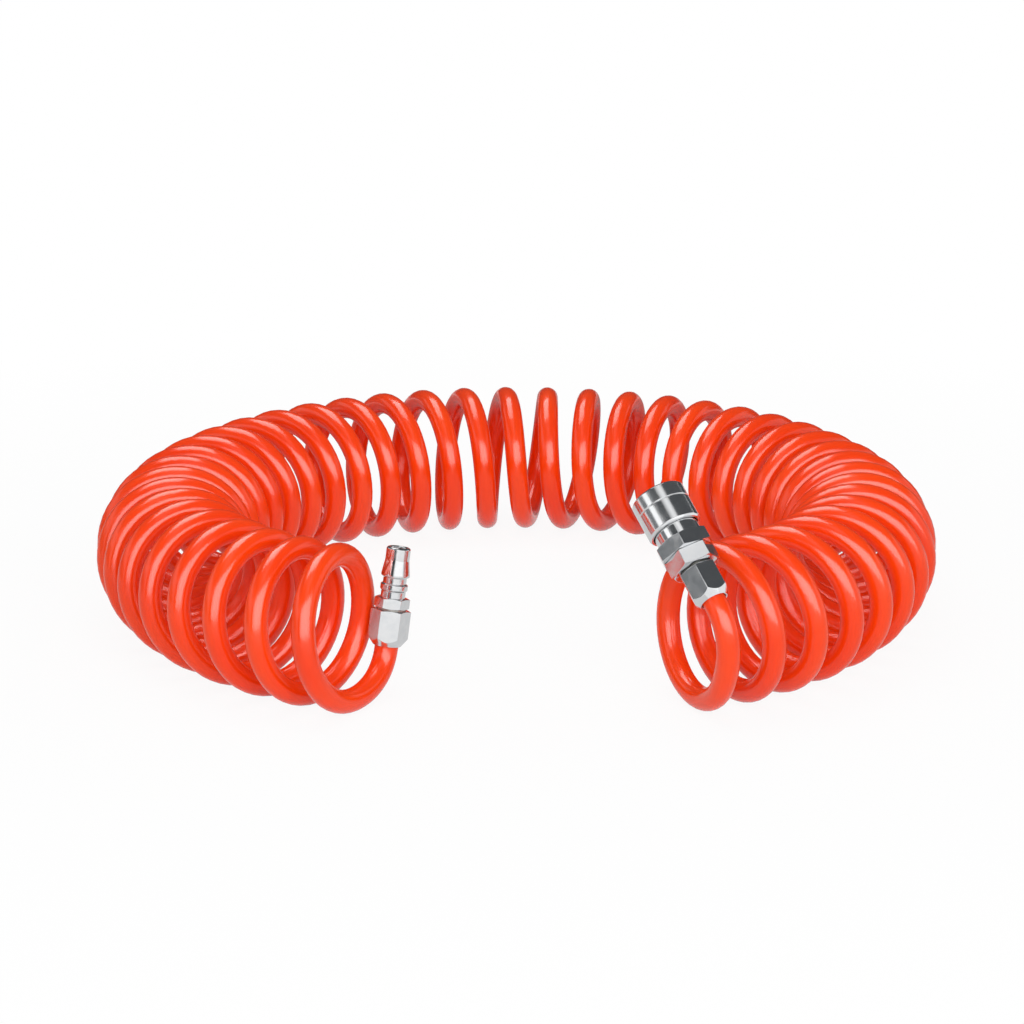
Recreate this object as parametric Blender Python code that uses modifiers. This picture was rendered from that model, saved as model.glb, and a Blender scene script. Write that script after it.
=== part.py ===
"""Coiled air hose: a spring-like hose bent into a horseshoe, with a quick plug on its left end
and a quick socket on its right end. Metres, +Z up, standing on z = 0, open side towards -Y.

Both fittings are drawn along their own axis: z = 0 at the face that mates, +z towards the hose.
"""

from math import cos, pi, radians, sin, sqrt

import bmesh
import bpy
from mathutils import Matrix, Vector
from mathutils.kdtree import KDTree

MM = 0.001

# Clearances
GAP = 0.3 * MM  # between pieces that touch or slide on each other
SPRING_GAP = 0.4 * MM  # beside a spring's wire
MEET = 0.2 * MM  # how far a hexagon stands past the turned core that it is joined to
WELD = 0.01 * MM  # points nearer than this are one point

# Hose and coil
HOSE_DIAMETER = 10.0 * MM
HOSE_BORE = 6.5 * MM
COIL_DIAMETER = 70.0 * MM
COIL_SPACING = 9.9 * MM  # clear space between neighbouring turns, along the middle of the coil
COIL_TURNS = 41.6
POINTS_PER_TURN = 10
FIRST_TURN = 0.28  # where the plug's tail leaves the coil, in turns past the top of a loop
HORSESHOE_ARC = radians(309.0)
PLUG_TAIL = 1.4 * MM  # straight hose that shows between the coil and each nut
SOCKET_TAIL = 4.9 * MM
PLUG_SHIFT = -1.85 * MM  # the plug's end leans out of the coil's line
PLUG_SWING = radians(-1.4)

# Hose connection, alike on both fittings
THREAD_STEP = 1.0 * MM  # thread's radius over the hose's
THREAD_LENGTH = 5.6 * MM
BARB_LENGTH = 9.0 * MM
BARB_TEETH = 3
BARB_DEPTH = 0.4 * MM
BARB_WALL = 0.75 * MM
NUT_WALL = 1.1 * MM
NUT_JOINT = 0.8 * MM  # open line between a nut and the hexagon in front of it
NUT_COVER = 1.2 * MM  # how far a nut reaches past the barb
NUT_CONE = 3.9 * MM
NUT_RIM = 0.7 * MM
CHAMFER = 0.6 * MM

# Plug
NOSE_DIAMETER = 10.2 * MM
NOSE_LENGTH = 5.5 * MM
SHOULDER_RISE = 0.95 * MM
SHOULDER_LENGTH = 6.8 * MM
SHOULDER_LAND = 0.8 * MM
GROOVE_DEPTH = 1.1 * MM
GROOVE_LENGTH = 2.4 * MM
GROOVE_FLANK = 0.6 * MM
COLLAR_DROP = 0.25 * MM
COLLAR_LENGTH = 2.1 * MM
NECK_DROP = 0.6 * MM
NECK_LENGTH = 3.4 * MM
PLUG_WALL = 1.75 * MM
PLUG_HEX_STEP = 0.5 * MM  # hexagon's flats over the thread's radius
PLUG_HEX_LENGTH = 4.6 * MM

# Socket's lock
BODY_WALL = 2.05 * MM
BALL_COUNT = 6
BALL_DIAMETER = 3.2 * MM
BALL_LIFT = 0.15 * MM  # ball's clearance over the plug's groove
LIFT_SPARE = 0.05 * MM  # how far an open ball clears the plug's shoulder
SLEEVE_SETBACK = 0.3 * MM
SLEEVE_WALL = 1.55 * MM
SLEEVE_TRAVEL = 3.0 * MM
SLEEVE_OVERLAP = 2.4 * MM
SLEEVE_TAPER = 0.9 * MM
SLEEVE_GROOVE_AT = 7.1 * MM
SLEEVE_GROOVE_DEPTH = 0.3 * MM
RING_SETBACK = 0.5 * MM
RING_THICKNESS = 0.7 * MM
RING_SEAT = 1.0 * MM
RING_RISE = 0.9 * MM
RING_SPLIT = 2.0 * MM
LIP_LENGTH = 0.7 * MM
LAND_LEAD = 0.5 * MM  # how far the lock land reaches past the balls' centres
LAND_LENGTH = 2.2 * MM
SLEEVE_SPRING_WIRE = 0.8 * MM
SLEEVE_SPRING_TURNS = 3.5

# Socket's body, valve and adapter
NECK_GAP = 0.4 * MM
NECK_SPARE = 2.1 * MM  # neck that still shows when the sleeve is pulled right back
BODY_HEX_STEP = 1.3 * MM
BODY_HEX_LENGTH = 6.7 * MM
BODY_REAR_WALL = 1.1 * MM
NOSE_LEAD = 0.8 * MM
TIP_PROUD = 0.4 * MM  # how far a home plug reaches past the valve's seat
PLUG_SEAL_CORD = 1.9 * MM
PLUG_SEAL_SQUEEZE = 0.4 * MM
VALVE_SEAL_THICKNESS = 0.6 * MM
VALVE_HEAD_THICKNESS = 1.4 * MM
VALVE_FLOW_GAP = 1.0 * MM
VALVE_NOSE_GAP = 0.4 * MM
VALVE_PUSH = 2.4 * MM  # how far a home plug opens the valve
VALVE_TRAVEL = 4.0 * MM
VALVE_SLOT = 1.6 * MM
VALVE_STEM_DIAMETER = 3.6 * MM
VALVE_SPRING_WIRE = 0.9 * MM
VALVE_SPRING_TURNS = 4.5
VALVE_ROOM = 3.4 * MM  # from the valve's seat to the adapter's counterbore
CHAMBER_WALL = 2.7 * MM
ADAPTER_SEAL_THICKNESS = 0.8 * MM
ADAPTER_SEAL_WIDTH = 1.3 * MM
ADAPTER_WALL = 1.8 * MM
ADAPTER_HEX_STEP = 1.4 * MM
ADAPTER_HEX_LENGTH = 7.0 * MM

# Facets
ROUND = 24
SMALL_ROUND = 20
HOLE_ROUND = 12
CORD_SIDES = 8
SPRING_POINTS_PER_TURN = 10

# Sizes of the hose that follow
HOSE_RADIUS = HOSE_DIAMETER / 2
COIL_RADIUS = COIL_DIAMETER / 2 - HOSE_RADIUS
COIL_PITCH = HOSE_DIAMETER + COIL_SPACING
HORSESHOE_RADIUS = COIL_TURNS * COIL_PITCH / HORSESHOE_ARC
CORNER_RADIUS = COIL_RADIUS / cos(pi / POINTS_PER_TURN)
FLAT_DEPTH = HOSE_DIAMETER / 10  # cut off the underside, so that the coil stands

# Sizes of the hose connection that follow
THREAD_RADIUS = HOSE_RADIUS + THREAD_STEP
BARB_RADIUS = HOSE_BORE / 2
AIR_RADIUS = BARB_RADIUS - BARB_DEPTH - BARB_WALL
NUT_FLATS = 2 * (THREAD_RADIUS + GAP + NUT_WALL)
NUT_LENGTH = THREAD_LENGTH + BARB_LENGTH + NUT_COVER - NUT_JOINT
HOSE_SEAT = THREAD_LENGTH + GAP  # hose's end face, from the rear of the hexagon

# Sizes of the plug that follow
NOSE_RADIUS = NOSE_DIAMETER / 2
SHOULDER_RADIUS = NOSE_RADIUS + SHOULDER_RISE
GROOVE_RADIUS = SHOULDER_RADIUS - GROOVE_DEPTH
COLLAR_RADIUS = SHOULDER_RADIUS - COLLAR_DROP
PLUG_NECK_RADIUS = COLLAR_RADIUS - NECK_DROP
NOSE_BORE_RADIUS = GROOVE_RADIUS - PLUG_WALL
PLUG_HEX_FLATS = 2 * (THREAD_RADIUS + PLUG_HEX_STEP)
GROOVE_AT = NOSE_LENGTH + SHOULDER_LENGTH + GROOVE_FLANK
GROOVE_MIDDLE = GROOVE_AT + GROOVE_LENGTH / 2
COLLAR_AT = GROOVE_AT + GROOVE_LENGTH + GROOVE_FLANK
PLUG_HEX_AT = COLLAR_AT + COLLAR_LENGTH + NECK_LENGTH
PLUG_HEX_END = PLUG_HEX_AT + PLUG_HEX_LENGTH

# Radii of the socket that follow
SOCKET_BORE_RADIUS = SHOULDER_RADIUS + GAP
BODY_RADIUS = SOCKET_BORE_RADIUS + BODY_WALL
BALL_RADIUS = BALL_DIAMETER / 2
BALL_ORBIT = GROOVE_RADIUS + BALL_LIFT + BALL_RADIUS
BALL_TRAVEL = GROOVE_DEPTH - BALL_LIFT + LIFT_SPARE
LAND_RADIUS = max(BODY_RADIUS, BALL_ORBIT + BALL_RADIUS) + GAP
RECESS_RADIUS = BALL_ORBIT + BALL_RADIUS + BALL_TRAVEL + GAP
RING_INNER = BODY_RADIUS - RING_SEAT + GAP
RING_OUTER = BODY_RADIUS + RING_RISE
RING_POCKET = RING_OUTER + 2 * GAP
SLEEVE_SPRING_RADIUS = BODY_RADIUS + SPRING_GAP + SLEEVE_SPRING_WIRE / 2
SPRING_POCKET = SLEEVE_SPRING_RADIUS + SLEEVE_SPRING_WIRE / 2 + SPRING_GAP
SLEEVE_RADIUS = max(RECESS_RADIUS, RING_POCKET, SPRING_POCKET) + SLEEVE_WALL
NECK_RADIUS = SPRING_POCKET - NECK_GAP
BODY_HEX_FLATS = 2 * (NECK_RADIUS + BODY_HEX_STEP)
SEAL_BORE_RADIUS = NOSE_RADIUS + GAP
PLUG_SEAL_INNER = NOSE_RADIUS - PLUG_SEAL_SQUEEZE
PLUG_SEAL_GROOVE = PLUG_SEAL_INNER + PLUG_SEAL_CORD + GAP
CHAMBER_RADIUS = NECK_RADIUS - CHAMBER_WALL
VALVE_HEAD_RADIUS = CHAMBER_RADIUS - VALVE_FLOW_GAP
VALVE_NOSE_RADIUS = PLUG_SEAL_INNER - VALVE_NOSE_GAP
VALVE_STEM_RADIUS = VALVE_STEM_DIAMETER / 2
VALVE_SPRING_RADIUS = VALVE_HEAD_RADIUS - VALVE_SPRING_WIRE
ADAPTER_BORE = NECK_RADIUS - BODY_REAR_WALL
ADAPTER_RADIUS = ADAPTER_BORE - GAP
ADAPTER_HEX_FLATS = 2 * (ADAPTER_RADIUS + ADAPTER_HEX_STEP)
SPRING_CHAMBER = ADAPTER_RADIUS - ADAPTER_WALL

# Places along the socket that follow, from its front
RING_AT = RING_SETBACK + GAP
LIP_AT = RING_AT + RING_THICKNESS + GAP
RECESS_AT = LIP_AT + LIP_LENGTH
BALL_AT = RECESS_AT + SLEEVE_TRAVEL + sqrt(BALL_RADIUS * (BALL_RADIUS - GAP))
LAND_AT = BALL_AT - LAND_LEAD
LAND_END = LAND_AT + LAND_LENGTH
SLEEVE_SPRING_LENGTH = SLEEVE_TRAVEL + (SLEEVE_SPRING_TURNS + 0.5) * SLEEVE_SPRING_WIRE
NECK_AT = LAND_END + SLEEVE_SPRING_LENGTH + 2 * GAP
SLEEVE_END = NECK_AT + SLEEVE_OVERLAP
BODY_HEX_AT = SLEEVE_END + SLEEVE_TRAVEL + NECK_SPARE
BODY_HEX_END = BODY_HEX_AT + BODY_HEX_LENGTH
TIP_HOME = BALL_AT + GROOVE_MIDDLE
SEAL_BORE_AT = TIP_HOME - NOSE_LENGTH + NOSE_LEAD
VALVE_SEAT = TIP_HOME - TIP_PROUD
PLUG_SEAL_AT = (SEAL_BORE_AT + VALVE_SEAT) / 2
PLUG_SEAL_ROOM = PLUG_SEAL_CORD / 2 + GAP
VALVE_NOSE_AT = TIP_HOME - VALVE_PUSH
VALVE_SEAL_AT = VALVE_SEAT + GAP
VALVE_HEAD_AT = VALVE_SEAL_AT + VALVE_SEAL_THICKNESS + GAP
VALVE_HEAD_END = VALVE_HEAD_AT + VALVE_HEAD_THICKNESS
VALVE_SPRING_SOLID = (VALVE_SPRING_TURNS + 0.5) * VALVE_SPRING_WIRE
VALVE_SPRING_LENGTH = VALVE_TRAVEL + VALVE_SPRING_SOLID
VALVE_STEM_END = VALVE_HEAD_END + VALVE_SPRING_SOLID - GAP
SPRING_FLOOR = VALVE_HEAD_END + VALVE_SPRING_LENGTH + 2 * GAP
COUNTERBORE_AT = VALVE_SEAT + VALVE_ROOM
ADAPTER_SEAL_AT = COUNTERBORE_AT + GAP
ADAPTER_AT = ADAPTER_SEAL_AT + ADAPTER_SEAL_THICKNESS + GAP
ADAPTER_HEX_AT = BODY_HEX_END + GAP
ADAPTER_HEX_END = ADAPTER_HEX_AT + ADAPTER_HEX_LENGTH

# Which way each hexagon is turned: 0 sets a corner to the front
FLAT_TO_FRONT = pi / 6
CORNER_TO_SIDE = radians(12.7)


def new_collection(name):
    collection = bpy.data.collections.new(name)
    bpy.context.scene.collection.children.link(collection)
    return collection


def finish(name, colour, roughness, metallic):
    material = bpy.data.materials.new(name)
    material.use_nodes = True
    shader = material.node_tree.nodes["Principled BSDF"]
    shader.inputs["Base Color"].default_value = (*colour, 1.0)
    shader.inputs["Roughness"].default_value = roughness
    shader.inputs["Metallic"].default_value = metallic
    return material


def chrome(name):
    return finish(name, (0.78, 0.78, 0.77), 0.12, 1.0)


def steel(name):
    return finish(name, (0.55, 0.55, 0.55), 0.3, 1.0)


def brass(name):
    return finish(name, (0.72, 0.5, 0.2), 0.3, 1.0)


def rubber(name):
    return finish(name, (0.02, 0.02, 0.02), 0.6, 0.0)


def place(name, data, material, parent, helper=False):
    """A named object in the part's collection, or a hidden one among the cutters."""
    obj = bpy.data.objects.new(name, data)
    obj.parent = parent
    if data.materials:
        data.materials[0] = material
    else:
        data.materials.append(material)
    if helper:
        obj.hide_render = True
        obj.display_type = "WIRE"
        cutters.objects.link(obj)
    else:
        part.objects.link(obj)
    return obj


def boolean(obj, operation, other):
    modifier = obj.modifiers.new(operation.lower() + "_" + other.name, "BOOLEAN")
    modifier.operation = operation
    modifier.solver = "EXACT"
    modifier.object = other


def turned(name, profile, material, parent, steps=ROUND, helper=False):
    """Turns (radius, z) points round z. A profile that starts and ends on the axis stays open there."""
    area = sum(a[0] * b[1] - b[0] * a[1] for a, b in zip(profile, profile[1:] + profile[:1]))
    points = profile if area < 0 else profile[::-1]
    on_axis = points[0][0] == 0 and points[-1][0] == 0
    edges = [(i, i + 1) for i in range(len(points) - 1)]
    if not on_axis:
        edges.append((len(points) - 1, 0))
    mesh = bpy.data.meshes.new(name)
    mesh.from_pydata([(radius, 0.0, z) for radius, z in points], edges, [])
    obj = place(name, mesh, material, parent, helper)
    screw = obj.modifiers.new("turn", "SCREW")
    screw.steps = steps
    screw.render_steps = steps
    screw.use_smooth_shade = True
    screw.use_merge_vertices = on_axis
    screw.merge_threshold = WELD
    return obj


def prism(name, sides, radius, start, end, turn, material, parent, helper=False):
    """A straight prism along z, from start to end, with its first corner towards +y."""
    mesh = bpy.data.meshes.new(name)
    body = bmesh.new()
    middle = Matrix.Translation((0, 0, (start + end) / 2)) @ Matrix.Rotation(turn, 4, "Z")
    bmesh.ops.create_cone(
        body, cap_ends=True, segments=sides, radius1=radius, radius2=radius, depth=end - start, matrix=middle
    )
    body.to_mesh(mesh)
    body.free()
    return place(name, mesh, material, parent, helper)


def block(name, size, middle, material, parent):
    """A box-shaped cutter."""
    mesh = bpy.data.meshes.new(name)
    body = bmesh.new()
    bmesh.ops.create_cube(body, matrix=Matrix.LocRotScale(middle, None, size))
    body.to_mesh(mesh)
    body.free()
    return place(name, mesh, material, parent, helper=True)


def hexagon(name, flats, envelope, turn, material, parent, helper=False):
    """A hexagon bar cut to the turned envelope, which gives it its chamfers and its bore."""
    start = min(z for _, z in envelope) - CHAMFER
    end = max(z for _, z in envelope) + CHAMFER
    bar = prism(name, 6, flats / 2 / cos(pi / 6), start, end, turn, material, parent, helper)
    shape = turned(name + "_envelope", envelope, material, parent, helper=True)
    boolean(bar, "INTERSECT", shape)
    return bar


def hex_collar(name, flats, bore, start, end, turn, material, parent):
    """The hexagon on a turned piece, chamfered at both ends and ready to be joined to its core."""
    corner = flats / 2 / cos(pi / 6) + GAP
    land = flats / 2 - GAP
    envelope = [
        (land, start),
        (corner, start + CHAMFER),
        (corner, end - CHAMFER),
        (land, end),
        (bore, end),
        (bore, start),
    ]
    return hexagon(name, flats, envelope, turn, material, parent, helper=True)


def hose_tail(at):
    """Outer profile of the thread and the barb behind a hexagon that ends at z = at."""
    root = BARB_RADIUS - BARB_DEPTH
    tooth = BARB_LENGTH / BARB_TEETH
    points = [(THREAD_RADIUS, at + THREAD_LENGTH)]
    for index in range(BARB_TEETH):
        start = at + THREAD_LENGTH + index * tooth
        points += [(BARB_RADIUS, start), (root, start + tooth)]
    return points


def helix(name, radius, wire, start, end, turns, material, parent):
    """A coil spring between two seats, one tube from end to end."""
    curve = bpy.data.curves.new(name, "CURVE")
    curve.dimensions = "3D"
    curve.bevel_depth = wire / 2
    curve.bevel_resolution = 1
    curve.use_fill_caps = True
    spline = curve.splines.new("POLY")
    steps = round(turns * SPRING_POINTS_PER_TURN)
    spline.points.add(steps)
    low = start + wire / 2
    high = end - wire / 2
    for index, point in enumerate(spline.points):
        clock = 2 * pi * turns * index / steps
        z = low + (high - low) * index / steps
        point.co = (radius * cos(clock), radius * sin(clock), z, 1.0)
    return place(name, curve, material, parent)


def coil_point(turn):
    """A corner of the coil's centre line, turn 0 being the top of the first loop."""
    heading = (turn - FIRST_TURN - COIL_TURNS / 2) * COIL_PITCH / HORSESHOE_RADIUS
    clock = 2 * pi * turn
    reach = HORSESHOE_RADIUS - CORNER_RADIUS * sin(clock)
    return Vector((reach * sin(heading), reach * cos(heading), CORNER_RADIUS * cos(clock)))


def coil_corners():
    """The centre line's corners, moved to stand on z = 0 in the middle of the frame."""
    count = round(COIL_TURNS * POINTS_PER_TURN)
    step = COIL_TURNS / count
    corners = [coil_point(FIRST_TURN + (index + 0.5) * step) for index in range(-1, count + 1)]
    inside = corners[1:-1]
    middle_y = (min(c.y for c in inside) + max(c.y for c in inside)) / 2
    lowest = min(c.z for c in inside)
    move = Vector((0, -middle_y, HOSE_RADIUS - FLAT_DEPTH - lowest))
    return [corner + move for corner in corners]


def swing_plug_end(corners):
    """Moves the first corner sideways and leans the line that runs through it to the plug."""
    lean = Matrix.Rotation(PLUG_SWING, 3, "Y")
    corner = corners[1] + Vector((PLUG_SHIFT, 0, 0))
    corners[0] = corner + lean @ (corners[0] - corners[1])
    corners[1] = corner


def fitting_frame(name, corner, before, tail, length):
    """An empty on a fitting's axis: the hose runs straight on from its last corner."""
    outward = (before - corner).normalized()
    z_axis = -outward
    x_axis = Vector((1, 0, 0))
    x_axis = (x_axis - x_axis.dot(z_axis) * z_axis).normalized()
    y_axis = z_axis.cross(x_axis)
    empty = bpy.data.objects.new(name, None)
    part.objects.link(empty)
    turn = Matrix((x_axis, y_axis, z_axis)).transposed().to_4x4()
    empty.matrix_world = Matrix.Translation(corner + outward * (tail + length)) @ turn
    return empty


def least_gap(points, diameter):
    """The hose's least clear gap to another of its own turns, measured on points along it."""
    samples = []
    lengths = []
    length = 0.0
    spacing = diameter / 5
    for a, b in zip(points, points[1:]):
        span = (b - a).length
        count = max(1, round(span / spacing))
        for index in range(count):
            samples.append(a.lerp(b, index / count))
            lengths.append(length + span * index / count)
        length += span
    tree = KDTree(len(samples))
    for index, sample in enumerate(samples):
        tree.insert(sample, index)
    tree.balance()
    apart = 4 * diameter
    nearest = apart
    for index, sample in enumerate(samples):
        for _, other, distance in tree.find_range(sample, apart):
            if abs(lengths[other] - lengths[index]) > apart:
                nearest = min(nearest, distance)
    return nearest - diameter


def make_hose(corners, plug, socket, hose_end_plug, hose_end_socket):
    """One tube: a tail in the plug, the coil and a tail in the socket, bored at its ends for the barbs."""
    material = finish("polyurethane_orange_red", (0.85, 0.055, 0.012), 0.25, 0.0)
    plug_end = plug.matrix_world @ Vector((0, 0, hose_end_plug))
    socket_end = socket.matrix_world @ Vector((0, 0, hose_end_socket))
    points = [plug_end, *corners, socket_end]
    curve = bpy.data.curves.new("hose_path", "CURVE")
    curve.dimensions = "3D"
    curve.bevel_depth = HOSE_RADIUS
    curve.bevel_resolution = 1
    curve.use_fill_caps = True
    spline = curve.splines.new("POLY")
    spline.points.add(len(points) - 1)
    for point, place_on in zip(spline.points, points):
        point.co = (*place_on, 1.0)
    path = bpy.data.objects.new("hose_path", curve)
    part.objects.link(path)
    graph = bpy.context.evaluated_depsgraph_get()
    mesh = bpy.data.meshes.new_from_object(path.evaluated_get(graph))
    body = bmesh.new()
    body.from_mesh(mesh)
    bmesh.ops.remove_doubles(body, verts=body.verts, dist=WELD)
    body.to_mesh(mesh)
    body.free()
    mesh.shade_smooth()
    hose = place("hose", mesh, material, None)
    hose.matrix_world = path.matrix_world
    bpy.data.objects.remove(path)

    reach = 2 * (HORSESHOE_RADIUS + COIL_DIAMETER)
    floor = block("floor_cut", (reach, reach, HOSE_DIAMETER), (0, 0, -HOSE_DIAMETER / 2), material, None)
    boolean(hose, "DIFFERENCE", floor)
    for frame, start in ((plug, hose_end_plug), (socket, hose_end_socket)):
        name = frame.name + "_hose_bore"
        depth = start + BARB_LENGTH + GAP
        bore = prism(name, HOLE_ROUND, BARB_RADIUS + GAP, start - GAP, depth, 0, material, frame, helper=True)
        boolean(hose, "DIFFERENCE", bore)

    length = sum((b - a).length for a, b in zip(points, points[1:]))
    gap = least_gap(points, HOSE_DIAMETER) / MM
    print(f"hose: {length:.3f} m along its corners, least gap to itself {gap:.2f} mm")


def make_hose_nut(name, hex_end, turn, parent):
    """The cap nut that clamps the hose: a hexagon with a cone at its rear, down to the hose."""
    material = chrome(name + "_chrome")
    start = hex_end + NUT_JOINT
    end = start + NUT_LENGTH
    corner = NUT_FLATS / 2 / cos(pi / 6) + GAP
    pass_radius = HOSE_RADIUS + GAP
    rim = pass_radius + NUT_RIM
    shoulder = hex_end + HOSE_SEAT + 2 * GAP
    envelope = [
        (NUT_FLATS / 2 - GAP, start),
        (corner, start + CHAMFER),
        (corner, end - NUT_CONE),
        (rim, end),
        (pass_radius, end),
        (pass_radius, shoulder),
        (THREAD_RADIUS + GAP, shoulder),
        (THREAD_RADIUS + GAP, start),
    ]
    hexagon(name, NUT_FLATS, envelope, turn, material, parent)


def make_plug_body(parent):
    """Nose, locking groove, collar, hexagon, thread and barb in one turned piece."""
    material = chrome("plug_chrome")
    collar_end = COLLAR_AT + COLLAR_LENGTH
    profile = [
        (NOSE_RADIUS - CHAMFER, 0.0),
        (NOSE_RADIUS, CHAMFER),
        (NOSE_RADIUS, NOSE_LENGTH),
        (SHOULDER_RADIUS, NOSE_LENGTH + SHOULDER_LENGTH - SHOULDER_LAND),
        (SHOULDER_RADIUS, NOSE_LENGTH + SHOULDER_LENGTH),
        (GROOVE_RADIUS, GROOVE_AT),
        (GROOVE_RADIUS, GROOVE_AT + GROOVE_LENGTH),
        (COLLAR_RADIUS, COLLAR_AT),
        (COLLAR_RADIUS, collar_end),
        (PLUG_NECK_RADIUS, collar_end + NECK_DROP),
        (PLUG_NECK_RADIUS, PLUG_HEX_AT - CHAMFER),
        (THREAD_RADIUS, PLUG_HEX_AT + MEET),
        *hose_tail(PLUG_HEX_END),
        (AIR_RADIUS, PLUG_HEX_END + THREAD_LENGTH + BARB_LENGTH),
        (AIR_RADIUS, PLUG_HEX_END),
        (NOSE_BORE_RADIUS, PLUG_HEX_AT),
        (NOSE_BORE_RADIUS, 0.0),
    ]
    body = turned("plug_body", profile, material, parent)
    inside = (max(NOSE_BORE_RADIUS, AIR_RADIUS) + min(THREAD_RADIUS, PLUG_NECK_RADIUS)) / 2
    collar = hex_collar(
        "plug_hexagon", PLUG_HEX_FLATS, inside, PLUG_HEX_AT, PLUG_HEX_END, FLAT_TO_FRONT, material, parent
    )
    boolean(body, "UNION", collar)


def make_socket_body(parent):
    """The tube that takes the plug, with the ball holes, the neck and the rear hexagon."""
    material = chrome("socket_chrome")
    profile = [
        (BODY_RADIUS - CHAMFER / 2, 0.0),
        (BODY_RADIUS, CHAMFER / 2),
        (BODY_RADIUS, RING_SETBACK),
        (BODY_RADIUS - RING_SEAT, RING_SETBACK),
        (BODY_RADIUS - RING_SEAT, LIP_AT),
        (BODY_RADIUS, LIP_AT),
        (BODY_RADIUS, NECK_AT),
        (NECK_RADIUS, NECK_AT),
        (NECK_RADIUS, BODY_HEX_END - MEET),
        (ADAPTER_BORE, BODY_HEX_END - MEET),
        (ADAPTER_BORE, COUNTERBORE_AT),
        (CHAMBER_RADIUS, COUNTERBORE_AT),
        (CHAMBER_RADIUS, VALVE_SEAT),
        (SEAL_BORE_RADIUS, VALVE_SEAT),
        (SEAL_BORE_RADIUS, PLUG_SEAL_AT + PLUG_SEAL_ROOM),
        (PLUG_SEAL_GROOVE, PLUG_SEAL_AT + PLUG_SEAL_ROOM),
        (PLUG_SEAL_GROOVE, PLUG_SEAL_AT - PLUG_SEAL_ROOM),
        (SEAL_BORE_RADIUS, PLUG_SEAL_AT - PLUG_SEAL_ROOM),
        (SEAL_BORE_RADIUS, SEAL_BORE_AT),
        (SOCKET_BORE_RADIUS, SEAL_BORE_AT - CHAMFER),
        (SOCKET_BORE_RADIUS, CHAMFER),
        (SOCKET_BORE_RADIUS + CHAMFER, 0.0),
    ]
    body = turned("socket_body", profile, material, parent)
    inside = (ADAPTER_BORE + NECK_RADIUS) / 2
    collar = hex_collar(
        "body_hexagon", BODY_HEX_FLATS, inside, BODY_HEX_AT, BODY_HEX_END, CORNER_TO_SIDE, material, parent
    )
    boolean(body, "UNION", collar)
    inner = SOCKET_BORE_RADIUS - BALL_RADIUS
    wide = BALL_RADIUS + GAP
    for index in range(BALL_COUNT):
        name = f"ball_hole_{index + 1}"
        hole = prism(name, HOLE_ROUND, wide, inner, LAND_RADIUS, 0, material, parent, helper=True)
        hole.matrix_local = Matrix.Translation((0, 0, BALL_AT)) @ ball_direction(index)
        boolean(body, "DIFFERENCE", hole)


def ball_direction(index):
    """Turns +z to the outward direction of one of the balls."""
    return Matrix.Rotation(2 * pi * index / BALL_COUNT, 4, "Z") @ Matrix.Rotation(pi / 2, 4, "Y")


def make_sleeve(parent):
    """The sliding sleeve: its inner land holds the balls in, and its recess lets them out."""
    groove = SLEEVE_GROOVE_DEPTH
    profile = [
        (SLEEVE_RADIUS - CHAMFER, SLEEVE_SETBACK),
        (SLEEVE_RADIUS, SLEEVE_SETBACK + CHAMFER),
        (SLEEVE_RADIUS, SLEEVE_GROOVE_AT - groove),
        (SLEEVE_RADIUS - groove, SLEEVE_GROOVE_AT),
        (SLEEVE_RADIUS, SLEEVE_GROOVE_AT + groove),
        (SLEEVE_RADIUS, SLEEVE_END - SLEEVE_TAPER),
        (SLEEVE_RADIUS - CHAMFER, SLEEVE_END),
        (SPRING_POCKET, SLEEVE_END),
        (SPRING_POCKET, LAND_END),
        (LAND_RADIUS, LAND_END),
        (LAND_RADIUS, LAND_AT),
        (RECESS_RADIUS, LAND_AT),
        (RECESS_RADIUS, RECESS_AT),
        (LAND_RADIUS, RECESS_AT),
        (LAND_RADIUS, LIP_AT),
        (RING_POCKET, LIP_AT),
        (RING_POCKET, SLEEVE_SETBACK),
    ]
    turned("sleeve", profile, chrome("sleeve_chrome"), parent)


def make_flat_ring(name, inner, outer, start, thickness, material, parent):
    end = start + thickness
    profile = [(outer, start), (outer, end), (inner, end), (inner, start)]
    return turned(name, profile, material, parent, SMALL_ROUND)


def make_sleeve_ring(parent):
    """The split spring ring in the body's front groove, which stops the sleeve."""
    material = steel("spring_steel_ring")
    ring = make_flat_ring("sleeve_ring", RING_INNER, RING_OUTER, RING_AT, RING_THICKNESS, material, parent)
    middle = (0, -(RING_INNER + RING_OUTER) / 2, RING_AT + RING_THICKNESS / 2)
    size = (RING_SPLIT, 2 * (RING_OUTER - RING_INNER), 2 * RING_THICKNESS)
    boolean(ring, "DIFFERENCE", block("ring_split", size, middle, material, parent))


def make_lock_balls(parent):
    """Hard balls, each on its own radial line, resting just above the plug's groove."""
    mesh = bpy.data.meshes.new("lock_ball")
    body = bmesh.new()
    rows = HOLE_ROUND // 2 + 1
    bmesh.ops.create_uvsphere(body, u_segments=HOLE_ROUND, v_segments=rows, radius=BALL_RADIUS)
    body.to_mesh(mesh)
    body.free()
    mesh.shade_smooth()
    material = steel("hard_steel_balls")
    for index in range(BALL_COUNT):
        ball = place(f"lock_ball_{index + 1}", mesh, material, parent)
        out = Matrix.Translation((0, 0, BALL_ORBIT))
        ball.matrix_local = Matrix.Translation((0, 0, BALL_AT)) @ ball_direction(index) @ out


def make_plug_seal(parent):
    """The O-ring round the plug's nose."""
    radius = PLUG_SEAL_CORD / 2
    middle = PLUG_SEAL_INNER + radius
    profile = []
    for index in range(CORD_SIDES):
        angle = 2 * pi * index / CORD_SIDES
        profile.append((middle + radius * cos(angle), PLUG_SEAL_AT + radius * sin(angle)))
    turned("plug_seal", profile, rubber("plug_seal_rubber"), parent, SMALL_ROUND)


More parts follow.
